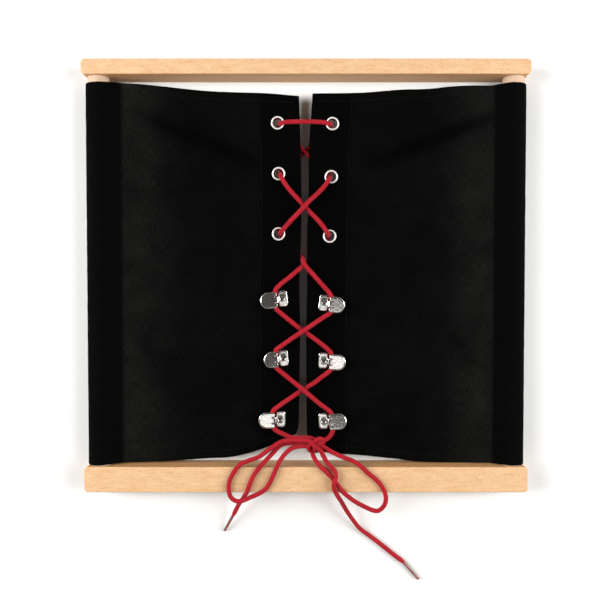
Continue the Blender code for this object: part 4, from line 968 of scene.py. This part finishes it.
LACE_DIAMETER = 0.0033
LACE_STRANDS = 6
LACE_PITCH = 0.0084
LACE_RELIEF = 0.00022
LACE_SIDES = 24
LACE_STEP = 0.0004
LACE_FIRST_SIDE = (0.1, 0.2, 1)
PRESSED_LENGTH = 0.004
PRESSED_SHARE = 0.25
LACE_RED = (0.31, 0.0045, 0.011, 1)
LACE_PALE_RED = (0.46, 0.013, 0.027, 1)
# The dark red painted into the braid's crevices as shade.
LACE_CREVICE_SHADE = (0.035, 0.0004, 0.001, 1)
YARN_RELIEF = 0.00012
LACE_UNDERLAP = 0.0012
LACE_UNDERLAP_INSET = 0.00012
LACED_HALVES = {
    "left": [
        (0.0119, 0.1081, 0.0133), (0.0145, 0.1076, 0.0134), (0.0159, 0.1074, 0.0124),
        (0.0167, 0.1074, 0.0107), (0.0174, 0.1074, 0.009), (0.0173, 0.1071, 0.0073), (0.017, 0.1066, 0.0058),
        (0.0161, 0.1058, 0.0049), (0.0144, 0.104, 0.0049), (-0.0015, 0.0893, 0.0019),
        (-0.0151, 0.0767, 0.0049), (-0.0171, 0.075, 0.0049), (-0.0179, 0.0738, 0.0058),
        (-0.0183, 0.0731, 0.0073), (-0.0184, 0.0725, 0.009), (-0.0181, 0.0718, 0.0107),
        (-0.0177, 0.0709, 0.0124), (-0.0169, 0.0693, 0.0134), (-0.0147, 0.0655, 0.0132),
        (-0.0102, 0.0598, 0.0128), (-0.0049, 0.0542, 0.0126), (-0.0013, 0.0502, 0.0126),
        (0.0025, 0.0459, 0.0127), (0.0058, 0.0428, 0.0128), (0.0109, 0.0372, 0.0131),
        (0.0134, 0.0337, 0.0133), (0.0146, 0.0317, 0.0134), (0.0153, 0.0308, 0.0124),
        (0.0157, 0.0302, 0.0107), (0.0159, 0.0297, 0.009), (0.0158, 0.029, 0.0073), (0.0155, 0.028, 0.0058),
        (0.0148, 0.0267, 0.0049), (0.0132, 0.0246, 0.0049), (0.0006, 0.0099, 0.0062),
        (-0.0008, 0.0092, 0.0074), (-0.0014, 0.0086, 0.0093), (-0.0023, 0.0079, 0.0114),
        (-0.0046, 0.0062, 0.0126), (-0.0105, 0.001, 0.013), (-0.0179, -0.0048, 0.0133),
        (-0.0211, -0.0082, 0.0133), (-0.0218, -0.0103, 0.0133), (-0.0221, -0.013, 0.0133),
        (-0.0221, -0.0178, 0.0133), (-0.0219, -0.0202, 0.0133), (-0.0209, -0.0221, 0.0133),
        (-0.0137, -0.0284, 0.013), (-0.0067, -0.0341, 0.0126), (-0.0015, -0.0379, 0.0126),
        (0.0056, -0.0429, 0.0127), (0.013, -0.0486, 0.0131), (0.0173, -0.0526, 0.0133),
        (0.0178, -0.0542, 0.0133), (0.0179, -0.0566, 0.0133), (0.0179, -0.0614, 0.0133),
        (0.0178, -0.0638, 0.0133), (0.017, -0.0655, 0.0133), (0.0105, -0.0706, 0.013),
        (0.0067, -0.0736, 0.0128), (-0.0015, -0.0788, 0.0126), (-0.0109, -0.085, 0.0128),
        (-0.0194, -0.0908, 0.0132), (-0.0231, -0.0939, 0.0133), (-0.0236, -0.0956, 0.0133),
        (-0.0237, -0.098, 0.0133), (-0.0237, -0.1028, 0.0133), (-0.0224, -0.1069, 0.0134),
        (-0.016, -0.1107, 0.0127), (-0.0104, -0.1131, 0.0126), (-0.0021, -0.1134, 0.0128),
        (0.0026, -0.1133, 0.013),
    ],
    "right": [
        (-0.0007, 0.1086, 0.0134), (-0.0133, 0.1083, 0.0133), (-0.0158, 0.1079, 0.0134),
        (-0.0173, 0.1078, 0.0124), (-0.0181, 0.1079, 0.0107), (-0.0188, 0.108, 0.009),
        (-0.0187, 0.1077, 0.0073), (-0.0184, 0.1071, 0.0058), (-0.0176, 0.1062, 0.0049),
        (-0.016, 0.1044, 0.0049), (-0.0015, 0.09, 0.0053), (0.0138, 0.0747, 0.0049),
        (0.0156, 0.0729, 0.0049), (0.0166, 0.0718, 0.0058), (0.0168, 0.0711, 0.0073),
        (0.0168, 0.0704, 0.009), (0.0165, 0.0697, 0.0107), (0.0161, 0.0688, 0.0124),
        (0.0154, 0.0674, 0.0134), (0.0138, 0.0649, 0.0137), (0.0091, 0.0595, 0.0149),
        (0.0031, 0.0539, 0.0161), (-0.001, 0.0496, 0.0165), (-0.0047, 0.0456, 0.0161),
        (-0.0101, 0.0401, 0.0149), (-0.015, 0.0348, 0.0136), (-0.0166, 0.0331, 0.0134),
        (-0.0174, 0.0322, 0.0124), (-0.0179, 0.0316, 0.0107), (-0.0183, 0.0312, 0.009),
        (-0.0182, 0.0305, 0.0073), (-0.0179, 0.0297, 0.0058), (-0.0171, 0.0286, 0.0049),
        (-0.0154, 0.0267, 0.0049), (-0.004, 0.015, 0.0065), (-0.0027, 0.014, 0.0077),
        (-0.0022, 0.0132, 0.0096), (-0.002, 0.012, 0.0117), (-0.0013, 0.0097, 0.013),
        (0.0007, 0.0068, 0.0133), (0.0035, 0.0038, 0.0133), (0.0084, -0.0018, 0.0133),
        (0.0134, -0.0074, 0.0133), (0.0164, -0.0109, 0.0133), (0.0177, -0.0132, 0.0133),
        (0.0182, -0.0161, 0.0133), (0.0182, -0.0209, 0.0133), (0.0181, -0.0233, 0.0133),
        (0.0174, -0.0246, 0.0133), (0.0112, -0.0286, 0.0145), (0.0021, -0.0347, 0.0162),
        (-0.0015, -0.0371, 0.0165), (-0.0095, -0.0425, 0.0153), (-0.0172, -0.048, 0.0136),
        (-0.021, -0.0509, 0.0133), (-0.0215, -0.0526, 0.0133), (-0.0216, -0.055, 0.0133),
        (-0.0216, -0.0598, 0.0133), (-0.0215, -0.0622, 0.0133), (-0.0208, -0.0636, 0.0133),
        (-0.012, -0.0708, 0.0149), (-0.0008, -0.0797, 0.0165), (0.0085, -0.0879, 0.0149),
        (0.0174, -0.0952, 0.0133), (0.0179, -0.0966, 0.0133), (0.018, -0.099, 0.0133),
        (0.018, -0.1038, 0.0133), (0.0189, -0.1066, 0.0133), (0.0184, -0.1098, 0.013),
        (0.0168, -0.1124, 0.013), (0.0147, -0.1139, 0.0136), (0.0127, -0.1147, 0.0144),
    ],
}


def route(points):
    """The smooth course through the points, as places one lace step apart."""
    points = np.array(points, float)
    ends = np.vstack([2 * points[0] - points[1], points, 2 * points[-1] - points[-2]])
    dense = [points[:1]]
    for a, b, c, d in zip(ends, ends[1:], ends[2:], ends[3:]):
        pairs = ((a, b), (b, c), (c, d))
        times = np.cumsum([0, *(math.sqrt(np.linalg.norm(far - near)) for near, far in pairs)])
        now = np.linspace(times[1], times[2], 33)[1:, None]
        first = [
            (near * (times[i + 1] - now) + far * (now - times[i])) / (times[i + 1] - times[i])
            for i, (near, far) in enumerate(pairs)
        ]
        second = [
            (first[i] * (times[i + 2] - now) + first[i + 1] * (now - times[i])) / (times[i + 2] - times[i])
            for i in (0, 1)
        ]
        dense.append((second[0] * (times[2] - now) + second[1] * (now - times[1])) / (times[2] - times[1]))
    dense = np.vstack(dense)
    along = np.concatenate([[0], np.cumsum(np.linalg.norm(np.diff(dense, axis=0), axis=1))])
    stops = np.linspace(0, along[-1], round(along[-1] / LACE_STEP) + 1)
    return np.stack([np.interp(stops, along, dense[:, axis]) for axis in range(3)], 1)


def lace_rings(path, inset=0, pressed=0):
    """Rings of points round a path, with the braid's relief, and the braid's own coordinates.

    The last length given is pressed thin, to go into an aglet.
    """
    heading = np.gradient(path, axis=0)
    heading /= np.linalg.norm(heading, axis=1)[:, None]
    side = np.zeros_like(path)
    side[0] = np.cross(heading[0], LACE_FIRST_SIDE)
    for i in range(len(path)):
        side[i] = side[max(i - 1, 0)] - heading[i] * np.dot(side[max(i - 1, 0)], heading[i])
        side[i] /= np.linalg.norm(side[i])
    other = np.cross(heading, side)
    share = np.arange(LACE_SIDES) / LACE_SIDES
    cells_along = np.arange(len(path)) * LACE_STEP / LACE_PITCH * LACE_STRANDS
    a = cells_along[:, None] + share * LACE_STRANDS
    b = cells_along[:, None] - share * LACE_STRANDS
    over = (np.floor(a) + np.floor(b)) % 2 < 0.5
    across = np.where(over, b, a) % 1 * 2 - 1
    length = np.where(over, a, b) % 1 * 2 - 1
    height = np.sqrt(np.clip(1 - across**2, 0, 1)) * (1 - 0.45 * length**2)
    radius = LACE_DIAMETER / 2 - inset - LACE_RELIEF * (1 - height)
    if pressed:
        left = (len(path) - 1 - np.arange(len(path))) * LACE_STEP / pressed
        radius = radius * (1 - PRESSED_SHARE * (1 - np.clip(left, 0, 1)) ** 1.5)[:, None]
    angle = 2 * math.pi * share
    spokes = np.cos(angle)[None, :, None] * side[:, None] + np.sin(angle)[None, :, None] * other[:, None]
    return path[:, None] + spokes * radius[..., None], cells_along


def lace_mesh(name, runs):
    """One mesh of closed tubes, from runs of rings, each with its braid coordinates."""
    points, faces, grid = [], [], []
    for rings, cells_along in runs:
        base = len(points)
        count = len(rings)
        points += rings.reshape(-1, 3).tolist()
        for i in range(count - 1):
            for j in range(LACE_SIDES):
                k = (j + 1) % LACE_SIDES
                corners = ((i, j), (i + 1, j), (i + 1, k), (i, k))
                faces.append([base + ring * LACE_SIDES + corner for ring, corner in corners])
                low, high = j * LACE_STRANDS / LACE_SIDES, (j + 1) * LACE_STRANDS / LACE_SIDES
                near, far = cells_along[i], cells_along[i + 1]
                grid += [(near, low), (far, low), (far, high), (near, high)]
        for ring, turn in ((0, 1), (count - 1, -1)):
            faces.append([base + ring * LACE_SIDES + j for j in range(LACE_SIDES)][::turn])
            grid += [(cells_along[ring], 0)] * LACE_SIDES
    data = new_mesh(name, points, faces, braid=grid)
    data.shade_smooth()
    data.update()
    return data


def lace_piece(name, runs):
    """A new piece of lace, made of its runs of rings."""
    data = lace_mesh(name, runs)
    piece = placed(name, data)
    data.materials.append(lace_material)
    return piece


braid = new_group("braid", [], ["Height", "Crevice"])
grid = split(braid, mapped(braid, "braid"))
one_way = do_math(braid, "ADD", grid["X"], grid["Y"])
other_way = do_math(braid, "SUBTRACT", grid["X"], grid["Y"])
cell = do_math(braid, "ADD", do_math(braid, "FLOOR", one_way), do_math(braid, "FLOOR", other_way))
under = do_math(braid, "GREATER_THAN", do_math(braid, "FLOORED_MODULO", cell, 2.0), 0.5)
strand = do_math(braid, "MULTIPLY_ADD", under, do_math(braid, "SUBTRACT", one_way, other_way), other_way)
across = do_math(braid, "MULTIPLY_ADD", do_math(braid, "FRACT", strand), 2.0, -1.0)
yarns = do_math(braid, "SINE", do_math(braid, "MULTIPLY", across, 3 * math.pi))
edge = do_math(braid, "POWER", do_math(braid, "ABSOLUTE", across), 3.0)
height = do_math(braid, "SUBTRACT", do_math(braid, "MULTIPLY", yarns, 0.35), edge)
add_node(braid, "NodeGroupOutput", {"Height": height, "Crevice": edge})

lace_material, tree, shader = new_material("red_lace")
weave = add_node(tree, "ShaderNodeGroup", node_tree=braid).outputs
where = on_object(tree)
fluff = cloudy(tree, where, 3.0, 2600.0)
worn = mixed(tree, cloudy(tree, where, 2.0, 90.0), LACE_RED, LACE_PALE_RED)
# Painted shade: the crevices between the strands are darkened.
colour = mixed(tree, do_math(tree, "MULTIPLY", weave["Crevice"], 0.75), worn, LACE_CREVICE_SHADE)
relief = do_math(tree, "ADD", weave["Height"], do_math(tree, "MULTIPLY", fluff, 0.8))
fuzzy = {"Base Color": colour, "Roughness": 0.62, "Specular IOR Level": 0.12}
fuzzy |= {"Sheen Weight": 0.05, "Sheen Roughness": 0.4}
finish_material(tree, shader, fuzzy, relief, 0.55, YARN_RELIEF)

laced_path = route(LACED_HALVES["left"][::-1] + LACED_HALVES["right"])
for side, sign in (("left", -1), ("right", 1)):
    whole, cells = lace_rings(laced_path)
    thin, _ = lace_rings(laced_path, LACE_UNDERLAP_INSET)
    beyond = (laced_path[:, 0] - GAP_MIDDLE) * sign
    reach = LACE_UNDERLAP if side == "left" else 0
    inside = beyond > -reach
    rings = np.where((beyond > 0)[:, None, None], whole, thin)
    cuts = np.flatnonzero(np.diff(np.concatenate([[0], inside, [0]]))).reshape(-1, 2)
    runs = [(rings[low:high], cells[low:high]) for low, high in cuts if high - low > 1]
    piece = lace_piece(f"lace_{side}", runs)
    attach(piece, f"{side}_flap")
    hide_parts("lace")


# The knot: the same lace. One strand winds round the others and under itself, the left loop's strand passes
# over it and leaves as the right end, and the rest run into it from both sides.

KNOT = {
    "wrap": [
        (0.0095, -0.1199, 0.0146), (0.0068, -0.1216, 0.0144), (0.004, -0.122, 0.0152),
        (0.0019, -0.1207, 0.0166), (0.0017, -0.1187, 0.0179), (0.0033, -0.1166, 0.0186),
        (0.0059, -0.1145, 0.0188), (0.0083, -0.1131, 0.0184), (0.0107, -0.1132, 0.0175),
        (0.012, -0.1149, 0.0162), (0.0115, -0.1174, 0.015), (0.0095, -0.1192, 0.0142),
    ],
    "over": [
        (0, -0.1144, 0.0168), (0.002, -0.1143, 0.0176), (0.0036, -0.1149, 0.0192), (0.0048, -0.116, 0.0205),
        (0.0062, -0.1175, 0.0211), (0.008, -0.119, 0.0207), (0.0098, -0.1205, 0.0198),
        (0.0112, -0.1226, 0.0187), (0.0126, -0.1256, 0.0181), (0.0136, -0.1273, 0.0192),
    ],
    "second_turn": [
        (0.0102, -0.1206, 0.015), (0.0079, -0.1218, 0.0156), (0.0063, -0.1212, 0.0172),
        (0.0063, -0.1194, 0.0183), (0.0078, -0.1172, 0.0186), (0.0097, -0.1157, 0.018),
        (0.0112, -0.1157, 0.0166), (0.0108, -0.1174, 0.0152),
    ],
    "from_left_hook": [
        (0.001, -0.1134, 0.0129), (0.003, -0.1134, 0.0131), (0.0055, -0.1142, 0.0142),
        (0.008, -0.1156, 0.0152),
    ],
    "from_left_end": [
        (0.0005, -0.117, 0.0134), (0.0024, -0.117, 0.0136), (0.005, -0.1172, 0.0146),
        (0.008, -0.1175, 0.0152),
    ],
    "from_left_loop": [
        (-0.0005, -0.1183, 0.017), (0.002, -0.1182, 0.017), (0.0045, -0.118, 0.0168),
        (0.0072, -0.1176, 0.016),
    ],
    "from_right_loop": [
        (0.0158, -0.1212, 0.0164), (0.0138, -0.12, 0.016), (0.0112, -0.1184, 0.0164),
        (0.0085, -0.1172, 0.0166),
    ],
    "from_right_inner": [
        (0.0046, -0.1236, 0.0156), (0.0042, -0.1222, 0.014), (0.0048, -0.1204, 0.0142),
        (0.007, -0.1188, 0.0156),
    ],
    "from_right_hook": [
        (0.0146, -0.1139, 0.0136), (0.0127, -0.1147, 0.0144), (0.0112, -0.1152, 0.0154),
        (0.0092, -0.1158, 0.0166),
    ],
}

knot = lace_piece("knotted_lace", [lace_rings(route(points)) for points in KNOT.values()])
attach(knot, "right_flap")
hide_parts("bow_knot")


# The bow: two loops and two free ends of the same lace, braided as one with the laced run. They leave the
# knot and lie over the bottom rail, and the ends come down to the table.

BOW = {
    "left_bow_loop": [
        (0.0032, -0.1146, 0.0168), (-0.004, -0.1143, 0.0167), (-0.0097, -0.1141, 0.0164),
        (-0.0174, -0.1155, 0.016), (-0.025, -0.12, 0.0176), (-0.0327, -0.1251, 0.0195),
        (-0.0403, -0.1277, 0.0208), (-0.0454, -0.1298, 0.0215), (-0.0501, -0.1354, 0.0218),
        (-0.0531, -0.1416, 0.0218), (-0.0538, -0.1478, 0.0218), (-0.0522, -0.1529, 0.0219),
        (-0.0481, -0.1555, 0.0224), (-0.0429, -0.1546, 0.0229), (-0.0378, -0.1524, 0.0225),
        (-0.0327, -0.1503, 0.022), (-0.0281, -0.1472, 0.0218), (-0.0251, -0.1426, 0.0218),
        (-0.023, -0.138, 0.0218), (-0.0209, -0.1333, 0.0219), (-0.0196, -0.1305, 0.0217),
        (-0.0182, -0.1279, 0.0208), (-0.0143, -0.1231, 0.0186), (-0.0097, -0.1196, 0.0173),
        (-0.0046, -0.1184, 0.017), (0.002, -0.1182, 0.017),
    ],
    "left_lace_end": [
        (0.0024, -0.117, 0.0136), (-0.004, -0.117, 0.0131), (-0.0097, -0.1169, 0.0128),
        (-0.0174, -0.1183, 0.013), (-0.0229, -0.1231, 0.0154), (-0.0286, -0.1282, 0.0207),
        (-0.031, -0.1306, 0.0217), (-0.0331, -0.1328, 0.022), (-0.0367, -0.1383, 0.0218),
        (-0.0393, -0.1442, 0.0218), (-0.0413, -0.1498, 0.0219), (-0.0425, -0.1516, 0.0211),
        (-0.0434, -0.1533, 0.0194), (-0.0443, -0.1553, 0.0176), (-0.0464, -0.1584, 0.0154),
        (-0.0484, -0.1622, 0.0129), (-0.0506, -0.167, 0.01), (-0.0521, -0.1701, 0.008),
    ],
    "right_bow_loop": [
        (0.0138, -0.12, 0.016), (0.016, -0.1214, 0.0164), (0.0195, -0.1231, 0.0172),
        (0.0246, -0.1251, 0.0186), (0.0323, -0.1277, 0.0207), (0.0374, -0.1306, 0.0219),
        (0.043, -0.1359, 0.0219), (0.0491, -0.141, 0.0218), (0.0531, -0.146, 0.0218),
        (0.0553, -0.1513, 0.022), (0.0554, -0.1567, 0.021), (0.0534, -0.1612, 0.0193),
        (0.0504, -0.1635, 0.0186), (0.0469, -0.1632, 0.0185), (0.0417, -0.1608, 0.019),
        (0.0349, -0.1567, 0.0208), (0.0297, -0.1527, 0.022), (0.0246, -0.148, 0.0219),
        (0.022, -0.1444, 0.0218), (0.0195, -0.141, 0.0218), (0.0174, -0.1385, 0.0218),
        (0.0134, -0.1344, 0.0219), (0.0096, -0.131, 0.0219), (0.007, -0.1278, 0.0203),
        (0.005, -0.1248, 0.017), (0.0042, -0.1222, 0.014),
    ],
    "right_lace_end": [
        (0.0112, -0.1238, 0.015), (0.0126, -0.126, 0.0178), (0.0146, -0.1287, 0.0207),
        (0.0174, -0.1316, 0.0221), (0.0202, -0.135, 0.0228), (0.0207, -0.1386, 0.0241),
        (0.0194, -0.142, 0.0252), (0.0192, -0.1453, 0.0242), (0.0215, -0.1512, 0.0216),
        (0.0249, -0.1578, 0.017), (0.0293, -0.1666, 0.011), (0.0344, -0.1752, 0.006),
        (0.0389, -0.1814, 0.0033), (0.0427, -0.1847, 0.0022), (0.0485, -0.1891, 0.0018),
        (0.0564, -0.1953, 0.0018), (0.0647, -0.202, 0.0018), (0.0711, -0.2068, 0.0018),
    ],
}

bow = {}
for name, points in BOW.items():
    pressed = PRESSED_LENGTH if name.endswith("end") else 0
    bow[name] = lace_piece(f"{name}_braid", [lace_rings(route(points), pressed=pressed)])
    side = name.split("_")[0]
    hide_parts(name)
    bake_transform(bow[name])


# The aglets: each end of the lace is pressed thin and wound in two turns of clear film, whose edge shows as a
# fine step along it. The film is heat-sealed, and the red lace shows brown through it.

AGLETS = {
    "left": ((-0.0521, -0.1701, 0.0080), (-0.0592, -0.1838, 0.0014)),
    "right": ((0.0711, -0.2068, 0.0018), (0.0819, -0.2193, 0.0015)),
}
AGLET_RADII = (0.00122, 0.00100)
AGLET_SIDES = 36
AGLET_LAP = 0.00007
# The share of its radius that each aglet has at a share of its length.
AGLET_RINGS = (
    (0, 0.86), (0.006, 0.96), (0.02, 1), (0.10, 1), (0.14, 0.985), (0.30, 1), (0.50, 0.99), (0.70, 1),
    (0.90, 0.99), (0.975, 1), (0.992, 0.93), (1, 0.80),
)
FILM_CLEAR = (0.24, 0.07, 0.063, 1)
FILM_DARK = (0.09, 0.021, 0.020, 1)
FILM_RELIEF = 0.00008

film, tree, shader = new_material("aglet_film")
where = on_object(tree)
under = cloudy(tree, where, 3.0, 900.0)
crinkle = cloudy(tree, where, 2.0, 1600.0)
colour = mixed(tree, ramp(tree, under, 0.35, 0.65), FILM_DARK, FILM_CLEAR)
rough = do_math(tree, "MULTIPLY_ADD", crinkle, 0.2, 0.25)
glossy = {"Base Color": colour, "Roughness": rough, "Coat Weight": 0.6, "Coat Roughness": 0.15}
finish_material(tree, shader, glossy, crinkle, 0.3, FILM_RELIEF)

aglets = {}
for side, (start, end) in AGLETS.items():
    start, end = Vector(start), Vector(end)
    turn = (end - start).to_track_quat("Z", "Y")
    shape = bmesh.new()
    rings = []
    for share, size in AGLET_RINGS:
        radius = (AGLET_RADII[0] + (AGLET_RADII[1] - AGLET_RADII[0]) * share) * size
        middle = start.lerp(end, share)
        ring = []
        for i in range(AGLET_SIDES):
            angle = 2 * math.pi * i / AGLET_SIDES
            wide = radius + AGLET_LAP * (i / AGLET_SIDES - 0.5)
            spoke = Vector((wide * math.cos(angle), wide * math.sin(angle), 0))
            ring.append(shape.verts.new(middle + turn @ spoke))
        rings.append(ring)
    join_rings(shape, rings)
    for ring in (rings[0], rings[-1]):
        shape.faces.new(ring)
    data = closed_mesh(f"{side}_film", shape)
    data.shade_smooth()
    data.set_sharp_from_angle(angle=math.radians(40))
    data.materials.append(film)
    aglets[side] = placed(f"{side}_film", data)
    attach(aglets[side], "frame")
    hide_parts(f"{side}_aglet")


for side in ("left", "right"):
    name = f"{side}_lace_end"


# The floor: a plain sheet of pale card under the frame, wide enough to fill every view. It is pressed from
# paper fibre, so it is matt and very slightly mottled.

FLOOR_SIZE = 12
FLOOR_PALE = (0.73, 0.73, 0.72, 1)
FLOOR_FIBRE = (0.70, 0.70, 0.69, 1)
FLOOR_RELIEF = 0.00005

card, tree, shader = new_material("floor_card")
fibre = cloudy(tree, on_object(tree), 4.0, 700.0)
colour = mixed(tree, ramp(tree, fibre, 0.4, 0.7), FLOOR_PALE, FLOOR_FIBRE)
matt = {"Base Color": colour, "Roughness": 0.9, "Specular IOR Level": 0.1}
finish_material(tree, shader, matt, fibre, 0.1, FLOOR_RELIEF)
half = FLOOR_SIZE / 2
corners = [(-half, -half, 0), (half, -half, 0), (half, half, 0), (-half, half, 0)]
floor = placed("floor", new_mesh("floor", corners, [(0, 1, 2, 3)]))
floor.data.materials.append(card)


# The light: soft panels at the frame's left and right and a smaller one above its lower edge, in a room that
# is pale at the walls and dim overhead. So flat metal looks grey, and the gap between the flaps stays dark.

# Each panel's place, its width and height, and its power in watts.
LAMPS = {
    "left_panel": ((-0.85, 0.10, 0.62), (0.45, 0.9), 16),
    "right_panel": ((0.85, 0.05, 0.62), (0.45, 0.9), 14.5),
    "front_panel": ((0, -0.50, 1.60), (0.25, 0.28), 0.49),
}
WALL_STRENGTH = 0.75
CEILING_STRENGTH = 0.06
END_WALL_SHARE = 0.8
WALL_TINT = (1.0, 0.955, 0.90, 1)

world = bpy.data.worlds.new("studio")
world.use_nodes = True
tree = world.node_tree
parts = split(tree, add_node(tree, "ShaderNodeTexCoord").outputs["Generated"])
upward = ramp(tree, parts["Z"], 0.15, 0.85)
strength = do_math(tree, "MULTIPLY_ADD", upward, CEILING_STRENGTH - WALL_STRENGTH, WALL_STRENGTH)
side_on = ramp(tree, do_math(tree, "ABSOLUTE", parts["X"]), 0.1, 0.5)
side_on = do_math(tree, "MULTIPLY_ADD", side_on, 1 - END_WALL_SHARE, END_WALL_SHARE)
strength = do_math(tree, "MULTIPLY", strength, side_on)
set_inputs(tree, tree.nodes["Background"], {"Color": WALL_TINT, "Strength": strength})
bpy.context.scene.world = world
for name, (place, size, watts) in LAMPS.items():
    lamp_data = bpy.data.lights.new(name, "AREA")
    lamp_data.shape = "RECTANGLE"
    lamp_data.size, lamp_data.size_y = size
    lamp_data.energy = watts
    lamp = placed(name, lamp_data)
    lamp.location = place
    lamp.rotation_euler = (-lamp.location).to_track_quat("-Z", "Y").to_euler()
